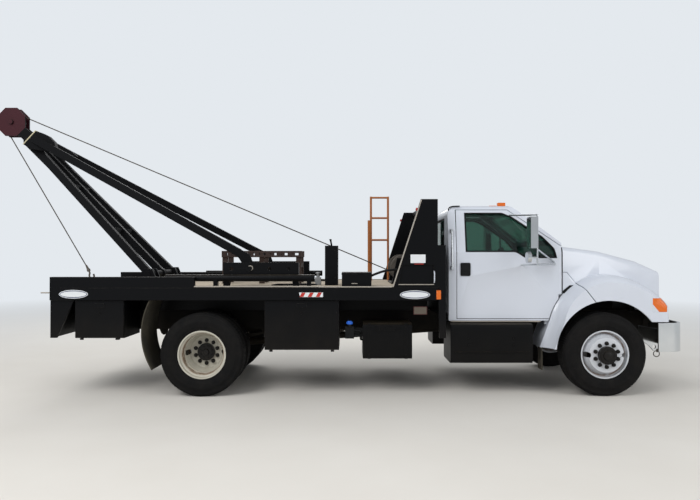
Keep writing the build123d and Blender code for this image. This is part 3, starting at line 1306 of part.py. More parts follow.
def ladder_rack():
    """Brown pipe frame that stands on the far side of the deck."""
    y = BED_HALF_WIDTH - 319
    rear = BED_FRONT_X - 743
    front = rear + 265
    middle = rear + 132
    pieces = []
    for x in (rear, front):
        pieces.append(pin_z(x, y, DECK_TOP, DECK_TOP + 1299, 17))
    for height in (625, 966, 1282):
        pieces.append(pin_x(rear, front, y, DECK_TOP + height, 15))
    pieces.append(pin_z(middle, y, DECK_TOP, DECK_TOP + 966, 26))
    return fused(pieces)


def mudflaps():
    """Rubber flaps behind the rear duals and behind the front wheels."""
    x = REAR_AXLE_X
    top = SIDE_RAIL_BOTTOM
    bulge = top - 419
    low = FLAP_FOOT_Z
    outer = ThreePointArc((x - 636, top), (x - 736, bulge), (x - 606, low))
    inner = ThreePointArc((x - 596, low + 12), (x - 722, bulge), (x - 622, top))
    face = make_face(Wire([
        outer, Line((x - 606, low), (x - 596, low + 12)), inner,
        Line((x - 622, top), (x - 636, top)),
    ]))
    rear = across_y(face, -BED_HALF_WIDTH + 24, -BED_HALF_WIDTH + 619)
    front = box(FRONT_AXLE_X - 742, FRONT_AXLE_X - 730, -WING_OUTER_Y + 145, -WING_OUTER_Y + 305,
                low - 25, ARCH_FOOT_Z)
    return both(rear) + both(front)


def marker_lamps():
    """Roof markers, side markers on the rack's panels, and round tail lamps."""
    lamps = []
    roof = cab_block()
    rear = CAB_FRONT_X - 727
    outer = CAB_HALF_WIDTH - 350
    for y in (-outer, -150, 0, 150, outer):
        lamps.append(box(rear, rear + 100, y - 28, y + 28, CAB_ROOF - 29, CAB_ROOF + 23) - roof)
    side = box(BED_FRONT_X - 20, BED_FRONT_X + 35, -BED_HALF_WIDTH - 10, -BED_HALF_WIDTH,
               DECK_TOP - 150, DECK_TOP - 40)
    lamps += both(side)
    for inward in (110, 250):
        y = -BED_HALF_WIDTH + SIDE_RAIL_WIDTH + inward
        lamps += both(pin_x(BED_REAR_X - 12, BED_REAR_X + 10, y, BED_FOOT_Z + 280, 52))
    return lamps


def write(name, solids):
    """Save one node as a STEP file."""
    if isinstance(solids, (list, tuple)):
        solids = Compound(children=[item for item in solids])
    export_step(solids, f"parts/{name}.step")


def main():
    os.makedirs("parts", exist_ok=True)
    shell = front_shell()
    write("frame_rails", frame_rails())
    write("frame_crossmembers", frame_crossmembers())
    write("front_axle", front_axle())
    write("rear_axle", rear_axle())
    write("leaf_springs", leaf_springs())
    write("powertrain", powertrain())
    write("exhaust", exhaust())
    write("tie_rod", tie_rod())
    write("cab_shell", cab_shell())
    write("cab_glass", cab_glass())
    write("cab_interior", cab_interior())
    write("grab_handles", grab_handles())
    write("hood", hood(shell))
    write("headlamps", headlamps(shell))
    write("grille", grille())
    write("splash_panels", splash_panels(shell))
    write("front_bumper", bumper())
    write("bed_sills", bed_sills())
    write("bed_crossmembers", bed_crossmembers())
    write("bed_side_rails", bed_side_rails())
    write("bed_deck", bed_deck())
    write("rack_panels", rack_panels())
    write("headache_rack", headache_rack())
    write("tanks", tank_and_steps())
    write("winch_frame", winch_frame())
    write("winch_drum", winch_drum())
    write("strut_guides", strut_guides() + leg_ears())
    write("mast_legs", mast_legs())
    write("mast_struts", mast_struts())
    write("sheave_block", sheave_block())
    write("sheave", sheave())
    write("deck_rack", deck_rack())
    write("control_stand", control_stand())
    write("ladder_rack", ladder_rack())
    write("mudflaps", mudflaps())
    write("marker_lamps", marker_lamps())
    bodies = [toolbox(*row[1:]) for row in TOOLBOXES]
    write("toolboxes", bodies + [mirrored(item) for item in bodies])
    for side_name, turn in (("right", False), ("left", True)):
        def side_of(solid):
            return mirrored(solid) if turn else solid
        head, feet = mirror()
        door_solid = fused([door()] + feet)
        frame_spaces = window_frame_spaces()
        write(f"door_{side_name}", side_of(cut(door_solid, frame_spaces)))
        write(f"window_frame_{side_name}", [side_of(door_solid & space) for space in frame_spaces])
        write(f"door_glass_{side_name}", side_of(door_glass()))
        write(f"mirror_{side_name}", side_of(head - door_solid - door_glass()))
        write(f"knuckle_{side_name}", side_of(knuckle()))
        for row in TOOLBOXES:
            write(f"lid_{row[0]}_{side_name}", side_of(toolbox_lid(*row[1:])))
        sign = 1 if turn else -1
        mount_y = REAR_OUTER_Y - DISC_OFFSET
        write(f"wheel_front_{side_name}", place_wheel(front_wheel(), FRONT_AXLE_X, FRONT_WHEEL_Y, sign))
        write(f"tyre_front_{side_name}", place_wheel(tyre_ring(), FRONT_AXLE_X, FRONT_WHEEL_Y, sign))
        write(f"wheels_rear_{side_name}", place_wheel(dual_wheel(), REAR_AXLE_X, mount_y, sign))
        rear_tyres = [
            place_wheel(tyre_ring(), REAR_AXLE_X, y, sign)
            for y in (REAR_OUTER_Y, REAR_OUTER_Y - DUAL_SPACING)
        ]
        write(f"tyres_rear_{side_name}", rear_tyres)


main()
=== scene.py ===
# %% [markdown]
# A rig up truck is a bonneted lorry with a winch behind the cab and a leaning mast at its tail.
# The CAD model already gives its true sizes and its joints. This lesson dresses that frame: it
# rounds the edges of the CAD pieces, paints them, and adds the tyres' tread, the wheel nuts,
# the winch line, handles, signs and pipes that a CAD model leaves out.

# %% Load the frame
import json
import math

import bmesh
import bpy
from mathutils import Euler, Matrix, Vector


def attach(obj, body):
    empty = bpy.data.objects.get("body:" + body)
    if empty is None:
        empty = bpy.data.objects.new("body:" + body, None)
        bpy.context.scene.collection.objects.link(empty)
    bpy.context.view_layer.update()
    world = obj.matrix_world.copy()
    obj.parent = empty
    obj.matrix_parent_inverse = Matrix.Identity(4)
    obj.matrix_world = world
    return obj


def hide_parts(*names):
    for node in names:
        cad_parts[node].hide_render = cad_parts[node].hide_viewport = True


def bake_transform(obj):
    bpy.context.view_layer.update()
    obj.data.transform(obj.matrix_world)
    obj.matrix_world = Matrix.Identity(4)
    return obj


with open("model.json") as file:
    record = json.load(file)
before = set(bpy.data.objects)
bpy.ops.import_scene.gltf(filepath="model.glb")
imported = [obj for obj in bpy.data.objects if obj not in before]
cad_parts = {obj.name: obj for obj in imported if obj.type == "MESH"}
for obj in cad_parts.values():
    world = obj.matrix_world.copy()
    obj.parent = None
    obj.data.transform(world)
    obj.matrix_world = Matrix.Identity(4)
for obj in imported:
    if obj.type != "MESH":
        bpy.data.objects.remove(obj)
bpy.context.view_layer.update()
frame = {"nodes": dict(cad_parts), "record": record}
record = frame["record"]

# %% [markdown]
# Every value is in metres, +X points forward, +Y to the left, and the right side of the truck
# is the one that faces the camera. The places below come from the CAD model, and the rest of
# the lesson refers to them by name.

# %% Name the main places
FRONT_AXLE_X, REAR_AXLE_X, AXLE_Z = 3.524, -1.404, 0.511
FRONT_WHEEL_Y, REAR_OUTER_Y, REAR_INNER_Y = 1.035, 1.060, 0.730
CAB_HALF_WIDTH = 0.990
BED_SIDE_Y = 1.219
DECK_TOP = 1.340
BLOCK_X, BLOCK_Z = -4.343, 3.598
HEAD_X, HEAD_Z = -3.991, 3.282
DRUM_X, DRUM_Z = 1.135, 1.560
SIDES = (("right", -1), ("left", 1))
node_body = {
    node: body for body, nodes in record["behaviour"]["bodies"].items() for node in nodes
}

# %% [markdown]
# A material in Blender is a small network. One helper adds a node, sets its properties and
# inputs, and links any input that is given as another node's socket. A colour is written as a
# hex value, as paint charts give it, and turned to the linear values that light is worked in.


# %% Helpers for materials
def linear(hex_value):
    """Linear RGBA of an sRGB hex colour."""
    channels = [int(hex_value[i:i + 2], 16) / 255 for i in (1, 3, 5)]
    values = [c / 12.92 if c <= 0.04045 else ((c + 0.055) / 1.055) ** 2.4 for c in channels]
    return (*values, 1.0)


def per_metre(millimetres):
    """Texture scale for a pattern whose grain has this size."""
    return 1000 / millimetres


def add(tree, kind, inputs=None, **settings):
    """A node with its settings, and with its inputs set to values or linked to sockets."""
    node = tree.nodes.new(kind)
    for key, value in settings.items():
        setattr(node, key, value)
    for key, value in (inputs or {}).items():
        if isinstance(value, bpy.types.NodeSocket):
            tree.links.new(value, node.inputs[key])
        else:
            node.inputs[key].default_value = value
    return node


def new_material(name):
    """An empty material with its shader, and the object's coordinates to draw patterns with."""
    material = bpy.data.materials.new(name)
    material.use_nodes = True
    tree = material.node_tree
    shader = tree.nodes["Principled BSDF"]
    place = add(tree, "ShaderNodeTexCoord").outputs["Object"]
    return material, tree, shader, place


def blend_by(tree, factor, first, second):
    """Colour socket that goes from the first colour to the second as factor goes from 0 to 1."""
    mix = add(tree, "ShaderNodeMix", {0: factor, 6: first, 7: second}, data_type="RGBA")
    return mix.outputs[2]


def arithmetic(tree, operation, *values, clamp=True):
    """Socket with the result of one sum, kept between 0 and 1 unless clamp is off."""
    inputs = dict(enumerate(values))
    return add(tree, "ShaderNodeMath", inputs, operation=operation, use_clamp=clamp).outputs[0]


# %% [markdown]
# A working truck is dusty low down and on faces that look up, and its paint is rubbed through
# along the edges; on the mast the lighter edges are partly a painted highlight. Dust is a second
# colour that is mixed over the paint: noise gives it patches, height above the ground gives it
# its fade, and the face's own direction lets it settle on top. A Bevel node gives the direction
# that a rounded edge would have. Where that differs from the true one there is an edge, and noise
# breaks the edge's line up. Both follow Object coordinates, so they stay on each piece as it
# moves.


# %% Dust, worn edges and a painted edge highlight
def dust_mask(tree, place, low, high, most, top_share):
    """How much dust lies at each point: most at height low, none at high, more where level."""
    height = add(tree, "ShaderNodeSeparateXYZ", {0: place}).outputs["Z"]
    fade = add(tree, "ShaderNodeMapRange", {"Value": height, "From Min": high, "From Max": low,
                                            "To Max": most})
    patches = add(tree, "ShaderNodeTexNoise", {"Vector": place, "Scale": per_metre(300),
                                               "Detail": 7.0, "Roughness": 0.6})
    spread = add(tree, "ShaderNodeMapRange", {"Value": patches.outputs["Fac"],
                                              "From Min": 0.32, "From Max": 0.68,
                                              "To Min": 0.35})
    low_dust = arithmetic(tree, "MULTIPLY", fade.outputs[0], spread.outputs[0])
    normal = add(tree, "ShaderNodeNewGeometry").outputs["Normal"]
    upward = add(tree, "ShaderNodeSeparateXYZ", {0: normal}).outputs["Z"]
    level = add(tree, "ShaderNodeMapRange", {"Value": upward, "From Min": 0.60, "From Max": 0.98,
                                             "To Max": top_share})
    settled = arithmetic(tree, "MULTIPLY", level.outputs[0], spread.outputs[0])
    return arithmetic(tree, "ADD", low_dust, settled)


def edge_wear_and_highlight(tree, place, reach):
    """1 along the edges, 0 on the flats: rubbed paint, and on the mast partly a painted highlight.
    """
    bent = add(tree, "ShaderNodeBevel", {"Radius": reach}, samples=4).outputs["Normal"]
    true = add(tree, "ShaderNodeNewGeometry").outputs["Normal"]
    alike = add(tree, "ShaderNodeVectorMath", {0: bent, 1: true}, operation="DOT_PRODUCT")
    edge = add(tree, "ShaderNodeMapRange", {"Value": alike.outputs["Value"], "From Min": 0.995,
                                            "From Max": 0.90})
    chips = add(tree, "ShaderNodeTexNoise", {"Vector": place, "Scale": per_metre(28),
                                             "Detail": 7.0, "Roughness": 0.65})
    broken = add(tree, "ShaderNodeMapRange", {"Value": chips.outputs["Fac"], "From Min": 0.44,
                                              "From Max": 0.58})
    return arithmetic(tree, "MULTIPLY", edge.outputs[0], broken.outputs[0])


def surface_bump(tree, height, distance):
    """Normal socket from a height pattern; distance is the relief in metres."""
    return add(tree, "ShaderNodeBump", {"Height": height, "Distance": distance,
                                        "Strength": 1.0}).outputs["Normal"]


DUST = linear("#8F8069")


def painted(name, hex_value, roughness, dust, wear=None, edges=None, coat=0.0, sheen_level=0.5,
            orange_peel=0.00010, ring=None):
    """Sprayed enamel on steel: orange peel, dust, chips to primer or rust, rubbed edges,
    which on the mast are partly a painted highlight.
    """
    material, tree, shader, place = new_material(name)
    tone = add(tree, "ShaderNodeTexNoise", {"Vector": place, "Scale": per_metre(700),
                                            "Detail": 3.0})
    base = linear(hex_value)
    darker = tuple(0.88 * c for c in base[:3]) + (1.0,)
    colour = blend_by(tree, tone.outputs["Fac"], darker, base)
    if wear:
        wear_hex, share = wear
        chips = add(tree, "ShaderNodeTexNoise", {"Vector": place, "Scale": per_metre(45),
                                                 "Detail": 9.0, "Roughness": 0.7})
        chipped = add(tree, "ShaderNodeMapRange", {"Value": chips.outputs["Fac"],
                                                   "From Min": 0.74 - share, "From Max": 0.80})
        colour = blend_by(tree, chipped.outputs[0], colour, linear(wear_hex))
    if edges:
        edge_hex, reach = edges
        colour = blend_by(tree, edge_wear_and_highlight(tree, place, reach), colour, linear(edge_hex))
    if ring:
        colour = blend_by(tree, ring_mask(tree, place, *ring), colour, linear("#6B4E36"))
    mask = dust_mask(tree, place, *dust)
    colour = blend_by(tree, mask, colour, DUST)
    peel = add(tree, "ShaderNodeTexNoise", {"Vector": place, "Scale": per_metre(9),
                                            "Detail": 2.0})
    rough = add(tree, "ShaderNodeMapRange", {"Value": mask, "To Min": roughness, "To Max": 0.92})
    shader.inputs["Coat Weight"].default_value = coat
    shader.inputs["Coat Roughness"].default_value = 0.08
    shader.inputs["Specular IOR Level"].default_value = sheen_level
    tree.links.new(colour, shader.inputs["Base Color"])
    tree.links.new(rough.outputs[0], shader.inputs["Roughness"])
    tree.links.new(surface_bump(tree, peel.outputs["Fac"], orange_peel), shader.inputs["Normal"])
    return material


def ring_mask(tree, place, centre_x, centre_z, radius, width):
    """1 in a ring round a wheel's axle, where road dirt gathers in the rim's corner."""
    flat = add(tree, "ShaderNodeMapping", {"Vector": place,
                                           "Location": (-centre_x, 0.0, -centre_z),
                                           "Scale": (1.0, 0.0, 1.0)})
    reach = add(tree, "ShaderNodeVectorMath", {0: flat.outputs[0]}, operation="LENGTH")
    past = arithmetic(tree, "SUBTRACT", reach.outputs["Value"], radius, clamp=False)
    off = arithmetic(tree, "ABSOLUTE", past)
    near = add(tree, "ShaderNodeMapRange", {"Value": off, "From Min": width, "From Max": 0.0})
    flecks = add(tree, "ShaderNodeTexNoise", {"Vector": place, "Scale": per_metre(60),
                                              "Detail": 6.0})
    broken = add(tree, "ShaderNodeMapRange", {"Value": flecks.outputs["Fac"], "From Min": 0.25,
                                              "From Max": 0.55})
    return arithmetic(tree, "MULTIPLY", near.outputs[0], broken.outputs[0])


# %% [markdown]
# The truck's paints are all sprayed alkyd enamel, and differ in colour, gloss and dirt. The
# cab's white has a glossy clear look and stays clean but for its lowest part. The bed's black
# is satin, and its edges are rubbed grey. The chassis below it is flatter and dustier. Each
# tuple for dust gives the height where it is thickest, the height where it ends, its share
# there, and its share on level faces.

# %% Paints
# The white is set a little grey and blue, partly painted shade: the tone of white paint in
# skylight shade.
white_enamel = painted("white_gloss_enamel", "#CFD4DE", 0.28, (0.50, 1.15, 0.10, 0.04), coat=0.4)
black_enamel = painted("black_satin_enamel", "#07080B", 0.38, (0.55, 1.15, 0.03, 0.12),
                       edges=("#45423F", 0.003), sheen_level=0.12)
# The mast's lighter edges are partly wear and partly a painted highlight: the thin light line
# along the struts' edges.
mast_enamel = painted("mast_black_enamel", "#07080B", 0.62, (0.55, 1.15, 0.02, 0.03),
                      wear=("#3A3836", 0.01), edges=("#4A4846", 0.003), sheen_level=0.1,
                      orange_peel=0.00003)
chassis_enamel = painted("chassis_black_enamel", "#09090A", 0.62, (0.15, 1.10, 0.16, 0.22),
                         wear=("#3A2D22", 0.04), sheen_level=0.12)
step_enamel = painted("tank_black_enamel", "#060709", 0.42, (0.30, 0.95, 0.02, 0.12),
                      edges=("#2C2A28", 0.003), sheen_level=0.12)
front_wheel_enamel = painted("front_wheel_white_enamel", "#C9CDD3", 0.42,
                             (0.10, 0.95, 0.22, 0.15), wear=("#6A5643", 0.04),
                             ring=(FRONT_AXLE_X, AXLE_Z, 0.262, 0.016))
rear_wheel_enamel = painted("rear_wheel_white_enamel", "#C4C1B4", 0.48,
                            (0.10, 1.00, 0.35, 0.20), wear=("#6A5643", 0.05),
                            ring=(REAR_AXLE_X, AXLE_Z, 0.252, 0.012))
# This black also covers the nuts' washers, whose wide ring is partly painted shade.
hub_enamel = painted("hub_iron_black_and_painted_shade", "#090808", 0.38, (-0.2, 1.00, 0.05, 0.08),
                     wear=("#3B2C20", 0.03), sheen_level=0.25)
maroon_enamel = painted("block_maroon_enamel", "#3A121B", 0.60, (1.0, 2.0, 0.02, 0.04),
                        wear=("#6E5A52", 0.02), edges=("#15110F", 0.012), sheen_level=0.2)
rust_red_enamel = painted("rack_brown_primer", "#2C1A14", 0.7, (1.0, 1.7, 0.10, 0.12),
                          wear=("#4B2A1C", 0.10), edges=("#5A3A2A", 0.006))
ladder_enamel = painted("ladder_rusty_ochre_enamel", "#A5622E", 0.75, (1.0, 1.6, 0.05, 0.05),
                        wear=("#5E331A", 0.16))
grey_enamel = painted("valve_grey_enamel", "#8D8F90", 0.5, (0.9, 1.6, 0.2, 0.2),
                      wear=("#5A4A3C", 0.06))
exhaust_steel = painted("muffler_aluminised_steel", "#6B655D", 0.6, (0.3, 0.9, 0.3, 0.3),
                        wear=("#5C3A26", 0.16))
# Besides rubbed steel, this pale finish paints the highlight on the deck's sunlit lip.
rubbed_metal_and_highlight = painted("steel_rubbed_bare_and_painted_highlight", "#A39C92", 0.5, (1.0, 1.4, 0.1, 0.1),
                       wear=("#4C4038", 0.14))
print("paints:", len(bpy.data.materials))

# %% [markdown]
# The deck is steel checker plate under a film of tan earth. Its raised lozenges stand about
# 25 mm apart, drawn by two crossed waves, and their tops are rubbed bare of dirt.

# %% Deck plate
deck_steel, tree, shader, place = new_material("checker_plate_dusty_steel")
stripes = []
for angle in (45, -45):
    turned = add(tree, "ShaderNodeMapping", {"Vector": place,
                                             "Rotation": (0, 0, math.radians(angle))})
    wave = add(tree, "ShaderNodeTexWave", {"Vector": turned.outputs[0],
                                           "Scale": per_metre(25) / 6.3, "Distortion": 0.0})
    stripes.append(wave.outputs["Fac"])
lozenge = arithmetic(tree, "MULTIPLY", *stripes)
raised = add(tree, "ShaderNodeMapRange", {"Value": lozenge, "From Min": 0.45, "From Max": 0.7})
earth = add(tree, "ShaderNodeTexNoise", {"Vector": place, "Scale": per_metre(340),
                                         "Detail": 7.0, "Roughness": 0.65})
soil = blend_by(tree, earth.outputs["Fac"], linear("#9C8C76"), linear("#CDBFA9"))
metal_share = arithmetic(tree, "MULTIPLY", raised.outputs[0], 0.30)
tree.links.new(blend_by(tree, metal_share, soil, linear("#6F6A63")), shader.inputs["Base Color"])
shader.inputs["Roughness"].default_value = 0.85
tree.links.new(surface_bump(tree, raised.outputs[0], 0.0015), shader.inputs["Normal"])
print("deck plate:", deck_steel.name)

# %% [markdown]
# Tyre rubber is never quite black outdoors. Carbon-filled rubber greys as it ages, and the
# tread and the lower wall carry the road's dust. It is dull, with a fine grain from its mould.

# %% Rubber
rubber, tree, shader, place = new_material("tyre_vulcanised_rubber")
grain = add(tree, "ShaderNodeTexNoise", {"Vector": place, "Scale": per_metre(4), "Detail": 4.0})
dirt = add(tree, "ShaderNodeTexNoise", {"Vector": place, "Scale": per_metre(120),
                                        "Detail": 6.0, "Roughness": 0.6})
dirty = add(tree, "ShaderNodeMapRange", {"Value": dirt.outputs["Fac"], "From Min": 0.35,
                                         "From Max": 0.75, "To Max": 0.22})
tree.links.new(blend_by(tree, dirty.outputs[0], linear("#0B0B0C"), linear("#2E2A25")),
               shader.inputs["Base Color"])
shader.inputs["Roughness"].default_value = 0.78
shader.inputs["Specular IOR Level"].default_value = 0.15
tree.links.new(surface_bump(tree, grain.outputs["Fac"], 0.0003), shader.inputs["Normal"])

flap_rubber, tree, shader, place = new_material("mudflap_moulded_rubber")
dirt = add(tree, "ShaderNodeTexNoise", {"Vector": place, "Scale": per_metre(180), "Detail": 6.0})
dirty = add(tree, "ShaderNodeMapRange", {"Value": dirt.outputs["Fac"], "From Min": 0.35,
                                         "From Max": 0.7, "To Min": 0.3, "To Max": 0.8})
tree.links.new(blend_by(tree, dirty.outputs[0], linear("#1C1B18"), linear("#4A4436")),
               shader.inputs["Base Color"])
shader.inputs["Roughness"].default_value = 0.85
tree.links.new(surface_bump(tree, dirt.outputs["Fac"], 0.002), shader.inputs["Normal"])
print("rubbers:", rubber.name, flap_rubber.name)

# %% [markdown]
# Chrome plate is bright metal that is almost a mirror. It shows its surroundings, so only a
# faint haze of dust in its roughness keeps it from looking like glass.

# %% Bright and bare metals
chrome, tree, shader, place = new_material("chrome_plate_on_steel")
haze = add(tree, "ShaderNodeTexNoise", {"Vector": place, "Scale": per_metre(150), "Detail": 5.0})
rough = add(tree, "ShaderNodeMapRange", {"Value": haze.outputs["Fac"], "To Min": 0.06,
                                         "To Max": 0.24})
shader.inputs["Base Color"].default_value = linear("#CFD2D4")
shader.inputs["Metallic"].default_value = 1.0
tree.links.new(rough.outputs[0], shader.inputs["Roughness"])


def mottled_steel(name, dark_hex, light_hex, grain_mm, detail, metallic, roughness):
    """Bare steel whose wear and grease show as dark and light patches."""
    material, tree, shader, place = new_material(name)
    patches = add(tree, "ShaderNodeTexNoise", {"Vector": place, "Scale": per_metre(grain_mm),
                                               "Detail": detail})
    tree.links.new(blend_by(tree, patches.outputs["Fac"], linear(dark_hex), linear(light_hex)),
                   shader.inputs["Base Color"])
    shader.inputs["Metallic"].default_value = metallic
    shader.inputs["Roughness"].default_value = roughness
    return material


bare_steel = mottled_steel("worn_winch_steel", "#3E3833", "#7D7770", 60, 8.0, 0.7, 0.5)
wire = mottled_steel("greased_steel_wire_rope", "#26231F", "#5E574D", 90, 5.0, 0.6, 0.48)
print("metals:", chrome.name, bare_steel.name, wire.name)

# %% [markdown]
# Side windows of a cab are tinted safety glass. The shader lets light through, bends it as glass
# does and tints it green. Lamp lenses are acrylic with moulded ribs, which a bump gives.

# %% Glass, lenses and plastics
glass, tree, shader, place = new_material("tinted_safety_glass")
shader.inputs["Base Color"].default_value = linear("#6F9487")
shader.inputs["Roughness"].default_value = 0.02
shader.inputs["IOR"].default_value = 1.45
shader.inputs["Transmission Weight"].default_value = 1.0


def lens(name, hex_value, transmission, ridge_mm):
    """Moulded acrylic lens with upright ribs of the given pitch."""
    material, tree, shader, place = new_material(name)
    ribs = add(tree, "ShaderNodeTexWave", {"Vector": place, "Scale": per_metre(ridge_mm) / 6.3},
               bands_direction="DIAGONAL")
    shader.inputs["Base Color"].default_value = linear(hex_value)
    shader.inputs["Roughness"].default_value = 0.12
    shader.inputs["Transmission Weight"].default_value = transmission
    tree.links.new(surface_bump(tree, ribs.outputs["Fac"], 0.0008), shader.inputs["Normal"])
    return material


clear_lens = lens("headlamp_clear_acrylic", "#E9ECEC", 0.75, 14)
amber_lens = lens("turn_signal_amber_acrylic", "#DE6A12", 0.1, 8)
red_lens = lens("tail_lamp_red_acrylic", "#A81E1A", 0.2, 8)


def moulded(name, hex_value, roughness, grain_mm, relief, sheen_level=0.5):
    """Injection moulded plastic with the fine grain of its tool."""
    material, tree, shader, place = new_material(name)
    grain = add(tree, "ShaderNodeTexNoise", {"Vector": place, "Scale": per_metre(grain_mm),
                                             "Detail": 3.0})
    shader.inputs["Base Color"].default_value = linear(hex_value)
    shader.inputs["Roughness"].default_value = roughness
    shader.inputs["Specular IOR Level"].default_value = sheen_level
    tree.links.new(surface_bump(tree, grain.outputs["Fac"], relief), shader.inputs["Normal"])
    return material


grey_plastic = moulded("interior_grey_polypropylene", "#4A4B4D", 0.6, 3, 0.0003)
black_plastic = moulded("black_polypropylene", "#0C0D0E", 0.5, 3, 0.0003, 0.2)
cap_plastic = moulded("blue_polyethylene", "#1F62C9", 0.4, 4, 0.0002)
seal_rubber = moulded("window_seal_epdm_rubber", "#08080A", 0.55, 2, 0.0002, 0.15)
hose_rubber = moulded("hydraulic_hose_rubber", "#0F0F11", 0.6, 2, 0.0002, 0.25)
white_film = moulded("white_vinyl_film", "#DADDE0", 0.35, 6, 0.00005)
navy_film = moulded("navy_vinyl_film", "#1B2A55", 0.35, 6, 0.00005)
red_film = moulded("red_reflective_film", "#B2281F", 0.3, 5, 0.0001)
buff_film = moulded("faded_buff_vinyl_film", "#544B41", 0.5, 6, 0.0001)
dull_red_film = moulded("faded_red_vinyl_film", "#3E1412", 0.5, 6, 0.0001)
primer = moulded("chipped_cream_primer", "#B9B193", 0.8, 18, 0.002)
print("materials:", len(bpy.data.materials))

# %% [markdown]
# A CAD mesh comes as loose triangles with knife-sharp edges. Real sheet metal has small radii
# that catch the light. Each node is therefore copied, its doubled points are merged, flat
# areas are joined into one face again, and a narrow bevel goes round its sharp edges. The copy
# then stands for the node.


# %% Rounded copies of the CAD nodes
def link_piece(name, mesh, material, body):
    """Object that rides on a body, or on none yet, with one material."""
    obj = bpy.data.objects.new(name, mesh)
    bpy.context.scene.collection.objects.link(obj)
    mesh.materials.clear()
    mesh.materials.append(material)
    if body:
        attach(obj, body)
    return obj


def soften(mesh, angle):
    """Smooth shading that keeps edges over the angle sharp."""
    mesh.shade_smooth()
    mesh.set_sharp_from_angle(angle=math.radians(angle))


def round_edges(obj, width, angle):
    """Narrow round along the edges that are sharper than the angle."""
    bevel = obj.modifiers.new("edges", "BEVEL")
    bevel.width = width
    bevel.segments = 2
    bevel.limit_method = "ANGLE"
    bevel.angle_limit = math.radians(angle)


CAD_SHARP_ANGLE, PIECE_SHARP_ANGLE, TYRE_SHARP_ANGLE = 32, 35, 35
# The block's flat sides lie this far from its middle, straight and along a diagonal.
BLOCK_FLAT, BLOCK_CORNER, DIAGONAL = 0.197, 0.1393, 0.7071
# The line that parts the amber signal from the painted lens box below it, and its normal.
SIGNAL_X, SIGNAL_Z = 4.095, 1.128
SIGNAL_RUN, SIGNAL_FALL = 0.094, 0.079
SIGNAL_FRONT_X = 4.28
# Planes that cut a copy's faces where its finish changes: node, point, normal.
CUTS = [
    ("sheave_block", (BLOCK_X + BLOCK_FLAT, 0, BLOCK_Z), (1, 0, 0)),
    ("sheave_block", (BLOCK_X + BLOCK_CORNER, 0, BLOCK_Z - BLOCK_CORNER),
     (DIAGONAL, 0, -DIAGONAL)),
    ("headlamps", (SIGNAL_X, 0, SIGNAL_Z), (SIGNAL_RUN, 0, SIGNAL_FALL)),
]
# The head pipe ends inside the struts' lugs, so its round end doesn't show. The points of the
# mast's legs that lie beyond the last two values are the pipe's ends.
PIPE_END_Y, PIPE_BEYOND_Y, PIPE_ABOVE_Z = 0.300, 0.405, 3.1
# The photograph shows the rack panel's foot a little wider than the CAD plate has it.
# columns: node, corner's X and Z, its new X and Z
CORNER_SHIFTS = [
    ("rack_panels", (1.048, 1.340), (0.925, 1.340)),
    ("rack_panels", (1.062, 1.371), (0.998, 1.371)),
    ("rack_panels", (1.112, 1.608), (1.040, 1.608)),
]


def rounded(node, material, radius):
    """Copy of a CAD node with merged points and bevelled edges, which replaces the node."""
    bm = bmesh.new()
    bm.from_mesh(frame["nodes"][node].data)
    bmesh.ops.remove_doubles(bm, verts=bm.verts, dist=0.00002)
    bmesh.ops.dissolve_limit(bm, angle_limit=math.radians(0.6), verts=bm.verts, edges=bm.edges)
    for cut_node, point, normal in CUTS:
        if cut_node == node:
            geom = list(bm.verts) + list(bm.edges) + list(bm.faces)
            bmesh.ops.bisect_plane(bm, geom=geom, plane_co=point, plane_no=normal)
    if node == "mast_legs":
        for vert in bm.verts:
            if abs(vert.co.y) > PIPE_BEYOND_Y and vert.co.z > PIPE_ABOVE_Z:
                vert.co.y = math.copysign(PIPE_END_Y, vert.co.y)
    for shift_node, old, new in CORNER_SHIFTS:
        if shift_node == node:
            for vert in bm.verts:
                if math.hypot(vert.co.x - old[0], vert.co.z - old[1]) < 0.006:
                    vert.co.x, vert.co.z = new
    mesh = bpy.data.meshes.new(f"{node}_shape")
    bm.to_mesh(mesh)
    bm.free()
    obj = link_piece(f"{node}_shape", mesh, material, node_body[node])
    if radius:
        round_edges(obj, radius, CAD_SHARP_ANGLE)
    soften(mesh, CAD_SHARP_ANGLE)
    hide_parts(node)
    return obj


# columns: node, material, edge radius
NODE_FINISHES = [
    ("frame_rails", chassis_enamel, 0.003), ("frame_crossmembers", chassis_enamel, 0.003),
    ("front_axle", chassis_enamel, 0.004), ("rear_axle", chassis_enamel, 0.003),
    ("leaf_springs", chassis_enamel, 0.002), ("powertrain", chassis_enamel, 0.006),
    ("tie_rod", chassis_enamel, 0.002), ("cab_shell", white_enamel, 0.004),
    ("cab_glass", glass, 0), ("cab_interior", grey_plastic, 0.008),
    ("hood", white_enamel, 0.004), ("headlamps", clear_lens, 0.003),
    ("splash_panels", white_enamel, 0.004), ("grille", chrome, 0.003),
    ("front_bumper", chrome, 0.005), ("bed_sills", black_enamel, 0.004),
    ("bed_crossmembers", black_enamel, 0.004), ("bed_side_rails", black_enamel, 0.004),
    ("bed_deck", deck_steel, 0), ("rack_panels", black_enamel, 0.004),
    ("headache_rack", black_enamel, 0.004), ("tanks", step_enamel, 0.003),
    ("winch_frame", black_enamel, 0.003), ("winch_drum", bare_steel, 0.003),
    ("strut_guides", black_enamel, 0.003), ("mast_legs", mast_enamel, 0.005),
    ("sheave_block", maroon_enamel, 0.003),
    ("sheave", bare_steel, 0.002), ("deck_rack", rust_red_enamel, 0.003),
    ("control_stand", black_enamel, 0.003),
    ("mudflaps", flap_rubber, 0.002), ("marker_lamps", amber_lens, 0.004),
    ("toolboxes", black_enamel, 0.003), ("exhaust", exhaust_steel, 0.002),
    ("grab_handles", chrome, 0.001),
]
